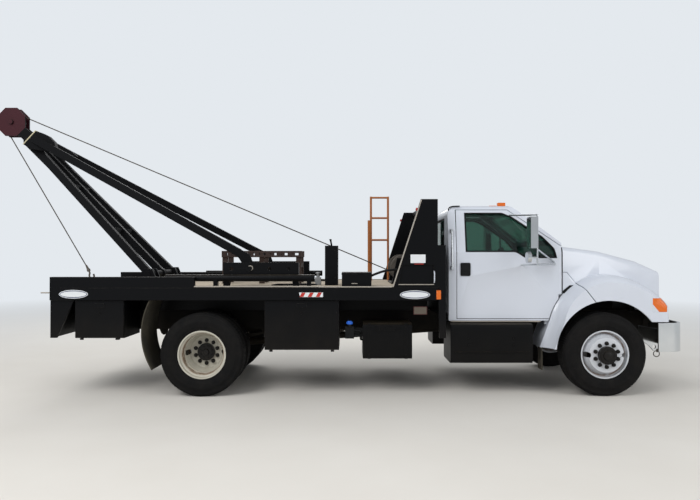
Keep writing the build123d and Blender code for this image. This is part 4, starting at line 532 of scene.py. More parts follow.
for side, _ in SIDES:
    NODE_FINISHES += [
        (f"door_{side}", white_enamel, 0.0035), (f"door_glass_{side}", glass, 0),
        (f"mirror_{side}", chrome, 0.003), (f"knuckle_{side}", chassis_enamel, 0.003),
        (f"lid_rear_{side}", black_enamel, 0.003), (f"lid_mid_{side}", black_enamel, 0.003),
        (f"wheel_front_{side}", front_wheel_enamel, 0.002),
        (f"wheels_rear_{side}", rear_wheel_enamel, 0.002),
        (f"window_frame_{side}", white_enamel, 0.0008),
    ]
shapes = {}
for node, material, radius in NODE_FINISHES:
    shapes[node] = rounded(node, material, radius)
print("nodes dressed:", len(shapes))

# %% [markdown]
# Some CAD nodes hold two finishes. The hub of each wheel is black and oily where the disc round
# it is painted white, the turn signals beside the clear headlamps are amber, the tail lamps are
# red where the roof's are amber, and the block's neck is black. The faces that meet a test on
# the face's place get a second material.


# %% Nodes with two finishes
def repaint(obj, material, chosen):
    """Further material for the faces that a test chooses."""
    mesh = obj.data
    mesh.materials.append(material)
    for face in mesh.polygons:
        if chosen(mesh, face):
            face.material_index = len(mesh.materials) - 1


def second_finish(obj, material, wanted):
    """Further material for the faces whose corners all meet the test."""
    repaint(obj, material,
            lambda mesh, face: all(wanted(mesh.vertices[index].co) for index in face.vertices))


def edge_finish(obj, material, wanted):
    """Further material for the faces whose normal and middle meet the test."""
    repaint(obj, material, lambda mesh, face: wanted(face.normal, face.center))


for side, _ in SIDES:
    for node, axle_x, reach in (("wheel_front", FRONT_AXLE_X, 0.2095),
                                ("wheels_rear", REAR_AXLE_X, 0.1095)):
        def in_hub(point, axle_x=axle_x, reach=reach):
            return math.hypot(point.x - axle_x, point.z - AXLE_Z) < reach
        second_finish(shapes[f"{node}_{side}"], hub_enamel, in_hub)
second_finish(shapes["marker_lamps"], red_lens, lambda point: point.x < -3.0)
second_finish(shapes["headlamps"], amber_lens, lambda point: point.x < SIGNAL_FRONT_X)


def below_signal(point):
    """Where the lens box is painted as the wing round it."""
    past_line = (point.x - SIGNAL_X) * SIGNAL_RUN + (point.z - SIGNAL_Z) * SIGNAL_FALL
    return point.x < SIGNAL_FRONT_X and past_line < 0.0001


second_finish(shapes["headlamps"], white_enamel, below_signal)


def in_neck(point):
    """The parts of the block's cheeks that lie outside the eight sides."""
    x, z = point.x - BLOCK_X, point.z - BLOCK_Z
    reach = BLOCK_FLAT - 0.0005
    return x > reach or (x - z) * DIAGONAL > reach


second_finish(shapes["sheave_block"], mast_enamel, in_neck)


def in_doorway(normal, middle):
    """Faces of the cab that line the door's opening."""
    return (abs(normal.y) < 0.35 and abs(middle.y) > 0.80 and 1.66 < middle.x < 3.045
            and 0.90 < middle.z < 2.335)


edge_finish(shapes["front_bumper"], chassis_enamel, lambda normal, middle: normal.x < -0.2)
edge_finish(shapes["sheave_block"], mast_enamel, lambda normal, middle: abs(normal.y) < 0.5)
edge_finish(shapes["cab_shell"], seal_rubber, in_doorway)
edge_finish(shapes["hood"], seal_rubber,
            lambda normal, middle: normal.x < -0.7 and middle.x < 3.15)
for side, _ in SIDES:
    edge_finish(shapes[f"door_{side}"], seal_rubber, lambda normal, middle: abs(normal.y) < 0.35)
print("two finishes:", sum(len(shape.data.materials) > 1 for shape in shapes.values()), "nodes")

# %% [markdown]
# A tyre is a surface of revolution, so it starts as a profile that is spun round the axle. The
# profile is drawn in distance from the axle and distance across the tyre. After the spin, the
# faces of the tread's ribs are inset and lifted, each on its own, which leaves the narrow
# grooves between the blocks.


# %% Tyres with tread
TYRE_RADIUS = 0.511
BLOCK_HEIGHT = 0.009
GROOVE_HALF = 0.0025
WALL_PROFILE = [
    (0.2885, 0.098), (0.296, 0.119), (0.309, 0.1265), (0.322, 0.127), (0.326, 0.1305),
    (0.360, 0.1372), (0.398, 0.1390), (0.402, 0.1394), (0.418, 0.1390), (0.422, 0.1366),
    (0.452, 0.1325), (0.472, 0.1270), (0.476, 0.1280), (0.486, 0.1240), (0.496, 0.1150),
]
RIB_EDGES = (-0.100, -0.062, -0.022, 0.022, 0.062, 0.100)


def tyre_mesh(bm, centre, steps):
    """Adds one tyre, spun about its axle, with raised blocks on its ribs."""
    base = TYRE_RADIUS - BLOCK_HEIGHT
    profile = list(WALL_PROFILE) + [(base, y) for y in reversed(RIB_EDGES)]
    profile += [(radius, -y) for radius, y in reversed(WALL_PROFILE)]
    verts = [bm.verts.new((centre[0] + r, centre[1] + y, centre[2])) for r, y in profile]
    edges = [bm.edges.new(pair) for pair in zip(verts, verts[1:])]
    bmesh.ops.spin(bm, geom=verts + edges, cent=centre, axis=(0, 1, 0), dvec=(0, 0, 0),
                   angle=math.tau, steps=steps, use_merge=True)
    ribs = []
    for face in bm.faces:
        middle = face.calc_center_median() - Vector(centre)
        if math.hypot(middle.x, middle.z) > base - 0.002 and abs(middle.y) < RIB_EDGES[-1]:
            ribs.append(face)
    bmesh.ops.recalc_face_normals(bm, faces=bm.faces)
    bmesh.ops.inset_individual(bm, faces=ribs, thickness=GROOVE_HALF, depth=BLOCK_HEIGHT - 0.0008,
                               use_even_offset=True)


def tyre(name, node, centres, steps):
    """Tyre piece that replaces a CAD tyre node."""
    mesh = bpy.data.meshes.new(name)
    whole = bmesh.new()
    for centre in centres:
        bm = bmesh.new()
        tyre_mesh(bm, centre, steps)
        part = bpy.data.meshes.new("part")
        bm.to_mesh(part)
        bm.free()
        whole.from_mesh(part)
        bpy.data.meshes.remove(part)
    whole.to_mesh(mesh)
    whole.free()
    obj = link_piece(name, mesh, rubber, node_body[node])
    soften(mesh, TYRE_SHARP_ANGLE)
    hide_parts(node)


for side, sign in SIDES:
    tyre(f"front_tyre_{side}", f"tyre_front_{side}",
         [(FRONT_AXLE_X, sign * FRONT_WHEEL_Y, AXLE_Z)], 110)
    tyre(f"rear_tyres_{side}", f"tyres_rear_{side}",
         [(REAR_AXLE_X, sign * y, AXLE_Z) for y in (REAR_OUTER_Y, REAR_INNER_Y)], 76)
print("tyres ready")

# %% [markdown]
# The trim, fittings and rigging are new pieces. Each starts as an empty bmesh that a few short
# helpers fill with simple solids: blocks, round bars, rings, plates cut to an outline, and bent
# pipes. A last helper turns the bmesh into a mesh object, points its faces outwards, rounds its
# edges and lets it ride on a body. Most pieces exist on both sides of the truck, so they are
# drawn on the right and mirrored to the left.


# %% Helpers for modelling
def block(bm, low, high):
    """Box between two corners."""
    middle = [(a + b) / 2 for a, b in zip(low, high)]
    size = [b - a for a, b in zip(low, high)]
    matrix = Matrix.Translation(middle) @ Matrix.Diagonal((*size, 1.0))
    bmesh.ops.create_cube(bm, size=1.0, matrix=matrix)


def bar(bm, start, end, radius, end_radius=None, sides=16):
    """Round bar or cone between two points; six sides make it a hexagon."""
    start, end = Vector(start), Vector(end)
    turn = (end - start).to_track_quat("Z", "Y").to_matrix().to_4x4()
    matrix = Matrix.Translation((start + end) / 2) @ turn
    bmesh.ops.create_cone(bm, cap_ends=True, segments=sides, radius1=radius,
                          radius2=radius if end_radius is None else end_radius,
                          depth=(end - start).length, matrix=matrix)


def ring(bm, centre, axis, radius, thickness):
    """Round wire bent to a closed ring about an axis."""
    axis = Vector(axis).normalized()
    out = axis.orthogonal().normalized()
    place = Matrix((out, axis, out.cross(axis))).transposed().to_4x4()
    place = Matrix.Translation(Vector(centre) + out * radius) @ place
    made = bmesh.ops.create_circle(bm, segments=8, radius=thickness, matrix=place)
    edges = list({edge for vert in made["verts"] for edge in vert.link_edges})
    bmesh.ops.spin(bm, geom=made["verts"] + edges, cent=centre, axis=axis, dvec=(0, 0, 0),
                   angle=math.tau, steps=24, use_merge=True)


def plate(bm, outline, y0, y1, corner=0.0):
    """Plate between two Y planes, cut to an outline of X and Z points, with round corners."""
    verts = [bm.verts.new((x, y0, z)) for x, z in outline]
    face = bm.faces.new(verts)
    if corner:
        made = bmesh.ops.bevel(bm, geom=verts, offset=corner, offset_type="OFFSET", segments=4,
                               profile=0.5, affect="VERTICES", material=-1)
        face = max(made["faces"] + [f for v in made["verts"] for f in v.link_faces],
                   key=lambda one: one.calc_area())
    made = bmesh.ops.extrude_face_region(bm, geom=[face], use_keep_orig=True)
    moved = [item for item in made["geom"] if isinstance(item, bmesh.types.BMVert)]
    bmesh.ops.translate(bm, verts=moved, vec=(0, y1 - y0, 0))


def rectangle(x0, x1, z0, z1):
    """Outline of a rectangle for a plate."""
    return [(x0, z0), (x1, z0), (x1, z1), (x0, z1)]


def oval(bm, middle, half_width, half_height, y0, y1):
    """Flat oval plate between two Y planes."""
    matrix = Matrix.Translation((middle[0], (y0 + y1) / 2, middle[1])) @ Matrix.Diagonal(
        (half_width, 1.0, half_height, 1.0)) @ Matrix.Rotation(math.pi / 2, 4, "X")
    bmesh.ops.create_cone(bm, cap_ends=True, segments=48, radius1=1.0, radius2=1.0,
                          depth=abs(y1 - y0), matrix=matrix)


def pipe(bm, points, radius, smooth=True):
    """Bent pipe or fixed hose: a curve with a round section, made a mesh."""
    curve = bpy.data.curves.new("route", "CURVE")
    curve.dimensions = "3D"
    curve.bevel_depth = radius
    curve.bevel_resolution = 3
    curve.resolution_u = 8
    curve.use_fill_caps = True
    spline = curve.splines.new("NURBS" if smooth else "POLY")
    spline.points.add(len(points) - 1)
    for point, place in zip(spline.points, points):
        point.co = (*place, 1.0)
    if smooth:
        spline.order_u = 3
        spline.use_endpoint_u = True
    holder = bpy.data.objects.new("route", curve)
    mesh = bpy.data.meshes.new_from_object(holder)
    bm.from_mesh(mesh)
    bpy.data.objects.remove(holder)
    bpy.data.curves.remove(curve)
    bpy.data.meshes.remove(mesh)


def finish(name, bm, material, body, edge=0.0, left=False):
    """Mesh object from a bmesh, on its body, with outward faces and rounded edges."""
    if left:
        bmesh.ops.scale(bm, vec=(1, -1, 1), verts=bm.verts)
    bmesh.ops.recalc_face_normals(bm, faces=bm.faces)
    mesh = bpy.data.meshes.new(name)
    bm.to_mesh(mesh)
    bm.free()
    obj = link_piece(name, mesh, material, body)
    if edge:
        round_edges(obj, edge, PIECE_SHARP_ANGLE)
    soften(mesh, PIECE_SHARP_ANGLE)
    return obj


def pair(name, draw, material, body, slot, edge=0.0):
    """The same piece on both sides, drawn on the right; {side} in the body's name is filled."""
    for side, sign in SIDES:
        bm = bmesh.new()
        draw(bm)
        finish(f"{name}_{side}", bm, material, body.format(side=side), edge, left=sign > 0)


def single(name, draw, material, body, edge=0.0):
    """One piece in the middle of the truck, or on one side only."""
    bm = bmesh.new()
    draw(bm)
    finish(name, bm, material, body, edge)


print("helpers ready")

# %% [markdown]
# Ten studs hold each wheel. A nut with a wide washer sits on every one of them, black with grease
# and road dirt, and a hub cap closes the middle of the front wheel. They ride on the wheel's own
# body, so they turn with it. The washer's wide black ring is partly painted shade of the recess
# round each nut.

# %% Wheel nuts and hub caps
STUD_CIRCLE = 0.1429
STUD_COUNT = 10


def around(axle_x, radius, count, shift):
    """Places on a circle round an axle, turned by a share of one step."""
    angles = [math.tau * (index + shift) / count for index in range(count)]
    return [(axle_x + radius * math.cos(angle), AXLE_Z + radius * math.sin(angle))
            for angle in angles]


def wheel_nuts(bm, axle_x, face_y):
    """Washers, nuts and stud ends outboard of a disc's face; the washers' wide black ring is
    partly painted shade, the dark recess round each nut.
    """
    for x, z in around(axle_x, STUD_CIRCLE, STUD_COUNT, 0.5):
        # The first row is the washer, whose black ring is partly painted shade of the recess round
        # the nut.
        # columns: from Y, to Y, radius, sides
        for y0, y1, radius, sides in ((-0.002, 0.006, 0.0255, 16), (0.004, 0.029, 0.0205, 6),
                                      (0.027, 0.040, 0.0105, 10)):
            bar(bm, (x, -face_y - y0, z), (x, -face_y - y1, z), radius, sides=sides)


def front_hub_cap(bm):
    """Oil cap: a flange, eight small bolts and a shallow dome."""
    # columns: from Y, to Y, radius at each
    for y0, y1, r0, r1 in ((1.240, 1.254, 0.092, 0.090), (1.252, 1.268, 0.062, 0.055),
                           (1.266, 1.272, 0.050, 0.030)):
        bar(bm, (FRONT_AXLE_X, -y0, AXLE_Z), (FRONT_AXLE_X, -y1, AXLE_Z), r0, r1, 32)
    for x, z in around(FRONT_AXLE_X, 0.076, 8, 0.0):
        bar(bm, (x, -1.252, z), (x, -1.261, z), 0.0085, sides=6)


def rear_hub_flange(bm):
    """End of the axle shaft: its flange and the bolts round it."""
    bar(bm, (REAR_AXLE_X, -0.935, AXLE_Z), (REAR_AXLE_X, -0.955, AXLE_Z), 0.090, 0.088, 32)
    bar(bm, (REAR_AXLE_X, -0.953, AXLE_Z), (REAR_AXLE_X, -0.972, AXLE_Z), 0.045, 0.038, 24)
    for x, z in around(REAR_AXLE_X, 0.070, 8, 0.5):
        bar(bm, (x, -0.953, z), (x, -0.967, z), 0.010, sides=6)


def front_nuts(bm):
    wheel_nuts(bm, FRONT_AXLE_X, 1.200)


def rear_nuts(bm):
    wheel_nuts(bm, REAR_AXLE_X, 0.907)


pair("front_wheel_nuts", front_nuts, hub_enamel, "front_wheel_{side}", "wheel_white", 0.001)
pair("rear_wheel_nuts", rear_nuts, hub_enamel, "rear_wheels_{side}", "wheel_white", 0.001)
pair("front_hub_cap", front_hub_cap, hub_enamel, "front_wheel_{side}", "wheel_white", 0.001)
pair("rear_hub_flange", rear_hub_flange, hub_enamel, "rear_wheels_{side}", "wheel_white", 0.001)
print("wheel nuts:", STUD_COUNT, "on each side of each axle")

# %% [markdown]
# The winch line is a wire rope of six strands, 16 mm thick. Its section is a circle of six
# lobes, and a spin with a sideways step winds that section forward, as a rope is laid. The line
# leaves the drum from below, runs up over the sheave, and comes down to a hook at the bed's
# tail. It is taut, so every run is straight. The two long runs ride on no body; the part over
# the sheave rides on the mast and the wound part on the drum.

# %% The winch line
ROPE_RADIUS = 0.008
SHEAVE_GROOVE = 0.126 + ROPE_RADIUS
DRUM_SURFACE = 0.105 + ROPE_RADIUS
HOOK_X, HOOK_Z = -3.290, 1.545
LAY_LENGTH = 0.10
STEPS_PER_LAY = 8


def rope_section(bm, centre, direction):
    """Ring of twelve points with six lobes, square to a direction."""
    turn = Vector(direction).to_track_quat("Z", "Y").to_matrix().to_4x4()
    made = bmesh.ops.create_circle(bm, segments=12, radius=ROPE_RADIUS,
                                   matrix=Matrix.Translation(centre) @ turn)
    hollows = made["verts"][::2]
    for vert in hollows:
        vert.co = Vector(centre) + (vert.co - Vector(centre)) * 0.80
    edges = list({edge for vert in made["verts"] for edge in vert.link_edges})
    return made["verts"] + edges


def straight_rope(bm, start, end):
    """Twisted run between two points."""
    start, end = Vector(start), Vector(end)
    run = end - start
    steps = round(run.length / LAY_LENGTH * STEPS_PER_LAY)
    geom = rope_section(bm, start, run)
    bmesh.ops.spin(bm, geom=geom, cent=start, axis=run.normalized(), dvec=run / steps,
                   angle=math.tau * steps / STEPS_PER_LAY, steps=steps)


block_middle = Vector((BLOCK_X, 0, BLOCK_Z))
drum_middle = Vector((DRUM_X, 0, DRUM_Z))
hook_eye = Vector((HOOK_X, 0, HOOK_Z))


def outward(angle):
    """Unit vector in the XZ plane at an angle above the X axis."""
    return Vector((math.cos(angle), 0, math.sin(angle)))


def bearing(start, end):
    """Angle above the X axis of the way from one point to another."""
    return math.atan2(end.z - start.z, end.x - start.x)


# The upper run crosses from the sheave's top to the drum's underside.
span = (drum_middle - block_middle).length
upper_angle = bearing(block_middle, drum_middle) + math.acos((SHEAVE_GROOVE + DRUM_SURFACE) / span)
lower_span = (hook_eye - block_middle).length
lower_angle = bearing(block_middle, hook_eye) - math.acos(SHEAVE_GROOVE / lower_span) + math.tau
upper_start = block_middle + outward(upper_angle) * SHEAVE_GROOVE
upper_end = drum_middle - outward(upper_angle) * DRUM_SURFACE
lower_start = block_middle + outward(lower_angle) * SHEAVE_GROOVE

bm = bmesh.new()
straight_rope(bm, upper_start, upper_end)
upper_line = finish("winch_line_upper", bm, wire, None)
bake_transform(upper_line)

bm = bmesh.new()
straight_rope(bm, lower_start, hook_eye)
lower_line = finish("winch_line_lower", bm, wire, None)
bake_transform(lower_line)

bm = bmesh.new()
along = Vector((-math.sin(upper_angle), 0, math.cos(upper_angle)))
geom = rope_section(bm, upper_start, along)
bmesh.ops.spin(bm, geom=geom, cent=block_middle, axis=(0, -1, 0), dvec=(0, 0, 0),
               angle=lower_angle - upper_angle, steps=40)
finish("winch_line_over_sheave", bm, wire, "mast")

TURNS, TURN_STEPS, WOUND_HALF = 36, 30, 0.300
bm = bmesh.new()
geom = rope_section(bm, (DRUM_X, -WOUND_HALF, DRUM_Z - DRUM_SURFACE), (1, 0, 0))
bmesh.ops.spin(bm, geom=geom, cent=(DRUM_X, 0, DRUM_Z), axis=(0, 1, 0),
               dvec=(0, 2 * WOUND_HALF / (TURNS * TURN_STEPS), 0), angle=TURNS * math.tau,
               steps=TURNS * TURN_STEPS)
finish("winch_line_on_drum", bm, wire, "drum")
open_length = (upper_end - upper_start).length + (hook_eye - lower_start).length
print("winch line:", round(open_length, 2), "m in the open")


def hook_and_ring(bm):
    """Socket, swivel, hook and the ring at the bed's tail that it holds."""
    down = Vector((0.46, 0, -0.89)).normalized()
    eye = hook_eye
    bar(bm, eye - down * 0.05, eye + down * 0.02, 0.011, 0.019)
    bar(bm, eye + down * 0.015, eye + down * 0.045, 0.024, 0.024)
    start = eye + down * 0.04
    side = Vector((down.z, 0, -down.x))
    hook = [start, start + down * 0.035, start + down * 0.060 + side * 0.030,
            start + down * 0.105 + side * 0.030, start + down * 0.130,
            start + down * 0.105 - side * 0.034, start + down * 0.070 - side * 0.036]
    pipe(bm, [tuple(point) for point in hook], 0.012)
    middle = start + down * 0.150
    ring(bm, middle, (0.2, 1, 0.3), 0.038, 0.009)
    block(bm, (middle.x - 0.03, -0.035, DECK_TOP - 0.002), (middle.x + 0.05, 0.035, 1.352))
    pipe(bm, [(middle.x - 0.005, -0.030, 1.345), (middle.x, -0.030, middle.z - 0.030),
              (middle.x, 0.030, middle.z - 0.030), (middle.x - 0.005, 0.030, 1.345)], 0.008)


single("tail_hook", hook_and_ring, bare_steel, "truck")

# %% [markdown]
# Black rubber holds the cab's windows. Each seal starts as one flat face with the window's
# outline. Its corners are bevelled round, an inset leaves a narrow frame, and a solid frame
# comes from extruding it. The frame is then laid on the wall, which leans inwards above the
# door's sill, by moving each point by its own height.

# %% Window seals
CAB_BELT = 1.761
WALL_LEAN = 0.112 / 0.519
SEAL_WIDTH = 0.020


def skin_y(z):
    """Distance of the cab's side wall from the truck's middle at a height."""
    return CAB_HALF_WIDTH - max(0.0, z - CAB_BELT) * WALL_LEAN


GLASS_FOOT_X, GLASS_FOOT_Z, GLASS_SLOPE = 3.060, 1.880, 0.7836


def windshield_x(z):
    """How far forward the windshield's face lies at a height."""
    return GLASS_FOOT_X - (z - GLASS_FOOT_Z) / GLASS_SLOPE


def seal(bm, outline, corner, depth, place):
    """Frame along an outline of two values, put where place says for (a, b, depth)."""
    verts = [bm.verts.new((a, 0, b)) for a, b in outline]
    bm.faces.new(verts)
    bmesh.ops.bevel(bm, geom=verts, offset=corner, offset_type="OFFSET", segments=4,
                    profile=0.5, affect="VERTICES", material=-1)
    face = max(bm.faces, key=lambda one: one.calc_area())
    bmesh.ops.inset_region(bm, faces=[face], thickness=SEAL_WIDTH, use_boundary=True,
                           use_even_offset=True)
    bmesh.ops.delete(bm, geom=[face], context="FACES_ONLY")
    made = bmesh.ops.extrude_face_region(bm, geom=list(bm.faces), use_keep_orig=True)
    moved = [item for item in made["geom"] if isinstance(item, bmesh.types.BMVert)]
    bmesh.ops.translate(bm, verts=moved, vec=(0, depth, 0))
    for vert in bm.verts:
        vert.co = place(vert.co.x, vert.co.z, vert.co.y)


DOOR_WINDOW = [(1.852, 1.766), (1.852, 2.267), (2.330, 2.267), (2.452, 2.215), (2.828, 1.962),
               (2.965, 1.815), (2.998, 1.690), (2.600, 1.690), (2.480, 1.766)]


def door_seal(bm):
    """Seal of the door's window and the bar ahead of it that divides off the quarter light."""
    seal(bm, DOOR_WINDOW, 0.030, 0.030,
         lambda a, b, depth: Vector((a, -skin_y(b) - 0.003 + depth, b)))
    post = [(2.755, -skin_y(1.695) + 0.010, 1.695), (2.750, -skin_y(1.85) + 0.010, 1.85),
            (2.742, -skin_y(2.01) + 0.010, 2.01)]
    pipe(bm, post, 0.011)


pair("door_window_seal", door_seal, seal_rubber, "door_{side}", "grey_trim", 0.002)


def rear_seal(bm):
    outline = [(-0.622, 1.798), (0.622, 1.798), (0.622, 2.212), (-0.622, 2.212)]
    seal(bm, outline, 0.045, 0.026, lambda a, b, depth: Vector((1.637 + depth, a, b)))


def front_seal(bm):
    outline = [(-0.803, 1.912), (0.803, 1.912), (0.738, 2.286), (-0.738, 2.286)]
    seal(bm, outline, 0.050, 0.022,
         lambda a, b, depth: Vector((windshield_x(b) - depth, a, b)))


single("rear_window_seal", rear_seal, seal_rubber, "truck", 0.002)
single("windshield_seal", front_seal, seal_rubber, "truck", 0.002)
print("seals:", round(SEAL_WIDTH * 1000), "mm wide")

# %% [markdown]
# Small black and bright trim gives the cab its scale: the door's flap handle in a pressed
# surround, the bolted feet of the grab handle, a pale sill strip, wipers at the windshield's
# foot, a dark wedge behind the wing, and the shackle below the bumper.


# %% Cab trim
def door_handle(bm):
    """Black flap in a raised rim, with its lock below."""
    plate(bm, rectangle(1.784, 1.912, 1.466, 1.632), -0.9955, -0.9995, 0.018)
    plate(bm, rectangle(1.792, 1.904, 1.530, 1.624), -0.999, -1.008, 0.016)
    plate(bm, rectangle(1.800, 1.896, 1.500, 1.524), -0.999, -1.004, 0.008)
    bar(bm, (1.820, -0.998, 1.484), (1.820, -1.003, 1.484), 0.009)


def handle_feet(bm):
    """Two black clamps that bolt the grab handle to the wall."""
    for z in (1.567, 2.030):
        y = -skin_y(z)
        block(bm, (1.664, y - 0.030, z - 0.024), (1.698, y + 0.004, z + 0.024))


def sill_strip(bm):
    plate(bm, rectangle(1.665, 2.790, 0.892, 0.909), -0.984, -0.962, 0.004)


def wing_dark_wedge(bm):
    """Dark wedge between the wing's crest and the cowl's side."""
    plate(bm, [(3.062, 1.250), (3.092, 1.250), (3.196, 1.330), (3.196, 1.352), (3.150, 1.352),
               (3.064, 1.282)], -0.986, -0.9965, 0.004)


def wiper(bm, y):
    """Arm and blade that rest on the windshield."""
    def on_glass(across, z, off):
        return (windshield_x(z) + off, across, z + off)
    pipe(bm, [on_glass(y, 1.868, 0.014), on_glass(y - 0.02, 1.90, 0.022),
              on_glass(y - 0.22, 2.03, 0.012)], 0.006)
    pipe(bm, [on_glass(y - 0.02, 1.945, 0.004), on_glass(y - 0.22, 2.030, 0.004),
              on_glass(y - 0.40, 2.105, 0.004)], 0.006)
    bar(bm, on_glass(y, 1.858, 0.0), on_glass(y, 1.876, 0.022), 0.014)


def wipers(bm):
    wiper(bm, 0.62)
    wiper(bm, -0.12)


def shackle(bm):
    """Tow shackle: a bolt below the bumper with a wire ring through it."""
    bar(bm, (4.235, -1.010, 0.560), (4.235, -1.010, 0.520), 0.014)
    ring(bm, (4.222, -1.010, 0.500), (0.1, 1, 0), 0.036, 0.006)


pair("door_handle", door_handle, black_plastic, "door_{side}", "grey_trim", 0.0015)
pair("grab_handle_feet", handle_feet, black_plastic, "truck", "grey_trim", 0.003)
pair("sill_strip", sill_strip, rubbed_metal_and_highlight, "truck", "white_paint", 0.002)
pair("wing_dark_wedge", wing_dark_wedge, black_plastic, "truck", "grey_trim", 0.001)
single("wipers", wipers, black_plastic, "truck")
pair("tow_shackle", shackle, bare_steel, "truck", "winch_steel")

# %% [markdown]
# The bed's black sides carry plain films: two blank oval signs with a thin navy ring, a strip
# of red and white reflective tape, and three small blank plates. Each film is a thin plate on
# its wall, and every layer stands a little further out than the one below it.

# %% Signs and tape on the bed's sides
FILM = 0.0012
OVAL_SIGNS = ((-2.952, 1.253, 0.176), (1.194, 1.247, 0.182))


def film(bm, outline, layer, corner=0.0):
    """Thin sheet on the bed's side; higher layers lie over lower ones."""
    plate(bm, outline, -BED_SIDE_Y + 0.001, -BED_SIDE_Y - FILM * layer, corner)


def oval_layer(layer, margin):
    """Drawing of one layer of both oval signs, smaller by a margin all round."""
    def draw(bm):
        for x, z, half in OVAL_SIGNS:
            oval(bm, (x, z), half - margin, 0.052 - margin, -BED_SIDE_Y + 0.001,
                 -BED_SIDE_Y - FILM * layer)
    return draw


def white_films(bm):
    """Base of the tape, and the sign on the rack's panel."""
    film(bm, [(-0.201, 1.219), (0.077, 1.219), (0.077, 1.274), (-0.214, 1.274)], 1)
    film(bm, rectangle(1.140, 1.322, 1.632, 1.735), 1, 0.004)


def red_films(bm):
    """Slanted marks of the tape, and the line below the sign."""
    for x in (-0.207, -0.108, -0.010):
        film(bm, [(x, 1.221), (x + 0.045, 1.221), (x + 0.073, 1.272), (x + 0.028, 1.272)], 2)
    film(bm, rectangle(1.184, 1.300, 1.616, 1.624), 1)


def plate_rims(bm):
    """Faded red rim of the buff plate."""
    film(bm, rectangle(1.176, 1.340, 1.006, 1.104), 1, 0.004)


def buff_films(bm):
    film(bm, rectangle(1.184, 1.332, 1.014, 1.096), 2, 0.003)


pair("oval_signs", oval_layer(1, 0.0), white_film, "truck", "white_paint")
pair("oval_sign_rings", oval_layer(2, 0.008), navy_film, "truck", "white_paint")
pair("oval_sign_middles", oval_layer(3, 0.017), white_film, "truck", "white_paint")
pair("white_films", white_films, white_film, "truck", "white_paint")
pair("red_films", red_films, red_film, "truck", "amber_lens")
pair("plate_rims", plate_rims, dull_red_film, "truck", "grey_trim")
pair("buff_films", buff_films, buff_film, "truck", "grey_trim")

# %% [markdown]
# Where boots, chains and loads pass, the black is rubbed down to bright steel up the slanted
# edges of the rack's panels, and a thin strip stands on each of those edges. A pale strip along
# the deck's lip above the side rail is a painted highlight of its sunlit edge. A small red lamp,
# a ledge and an upright handle finish the panel.

# %% Rubbed edges, the deck's painted highlight and trim of the bed
PANEL_EDGE = ((0.925, 1.342), (1.270, 2.402))


def deck_edge_highlight(bm):
    """Pale strip on the deck's lip along the side rail, a painted highlight of its sunlit edge,
    in two runs with a joint between them.
    """
    block(bm, (-1.489, -1.2195, 1.338), (0.020, -1.172, 1.352))
    block(bm, (0.024, -1.2195, 1.334), (0.915, -1.172, 1.348))


def panel_edges(bm):
    """Bright strip up the slanted edge of the rack's panel."""
    (x0, z0), (x1, z1) = PANEL_EDGE
    plate(bm, [(x0 - 0.004, z0), (x0 + 0.010, z0), (x1 + 0.010, z1), (x1 - 0.004, z1)],
          -1.190, -1.2202)
    plate(bm, rectangle(0.994, 1.425, 1.366, 1.375), -1.200, -1.2225)


def panel_trim(bm):
    """White upright handle in the panel's recess."""
    pipe(bm, [(1.428, -1.200, 1.389), (1.428, -1.240, 1.400), (1.428, -1.242, 1.460),
              (1.428, -1.240, 1.524), (1.428, -1.200, 1.535)], 0.007)


def panel_lamp(bm):
    """Small red lamp on the panel's slanted edge."""
    bar(bm, (1.232, -1.196, 2.283), (1.206, -1.196, 2.290), 0.021, 0.017, 20)


def rail_marks(bm):
    """Weld line along the side rail, and the round latch heads of the lids."""
    bar(bm, (-3.120, -1.2185, 1.328), (0.900, -1.2185, 1.328), 0.0022, sides=6)
    for x in (-2.649, -0.190):
        bar(bm, (x, -1.186, 1.019), (x, -1.196, 1.019), 0.013, 0.011, 20)


# The deck's lip strip is a painted highlight of its sunlit edge.
pair("deck_edge_highlight", deck_edge_highlight, rubbed_metal_and_highlight, "truck", "deck_steel", 0.003)
pair("panel_edges", panel_edges, rubbed_metal_and_highlight, "truck", "bed_black", 0.001)
pair("panel_handle", panel_trim, white_enamel, "truck", "white_paint")
pair("panel_lamp", panel_lamp, red_lens, "truck", "amber_lens", 0.002)
pair("rail_marks", rail_marks, black_enamel, "truck", "bed_black")


def tail_rod(bm):
    """Bright guard rod and its flange at the bed's tail corner."""
    bar(bm, (-3.371, -1.170, 1.268), (-3.225, -1.170, 1.268), 0.008)
    block(bm, (-3.228, -1.205, 1.222), (-3.216, -1.135, 1.304))


pair("tail_rod", tail_rod, rubbed_metal_and_highlight, "truck", "winch_steel", 0.001)

# %% [markdown]
# The rear tank is banded with straps that end in bolts and has a ribbed black step plate on the
# right. The front one carries bolts and a step bar. A small reservoir with a blue cap and black
# pipe fittings hangs just behind them.

# %% Tanks and their fittings
TANK_REAR_Y, TANK_FRONT_Y = 1.110, 1.120


def tank_straps(bm):
    """Flat bands with bolts on the rear tank, and the front tank's bolts and step bar."""
    for x in (0.640, 1.095):
        block(bm, (x - 0.018, -TANK_REAR_Y - 0.004, 0.452), (x + 0.018, -1.000, 0.888))
        for z in (0.500, 0.840):
            bar(bm, (x, -TANK_REAR_Y, z), (x, -TANK_REAR_Y - 0.014, z), 0.009, sides=6)
    for x in (1.869, 2.420):
        for z in (0.622, 0.702):
            bar(bm, (x, -TANK_FRONT_Y + 0.002, z), (x, -TANK_FRONT_Y - 0.011, z), 0.012, sides=6)
    bar(bm, (1.700, -TANK_FRONT_Y - 0.006, 0.536), (2.600, -TANK_FRONT_Y - 0.006, 0.536), 0.007)


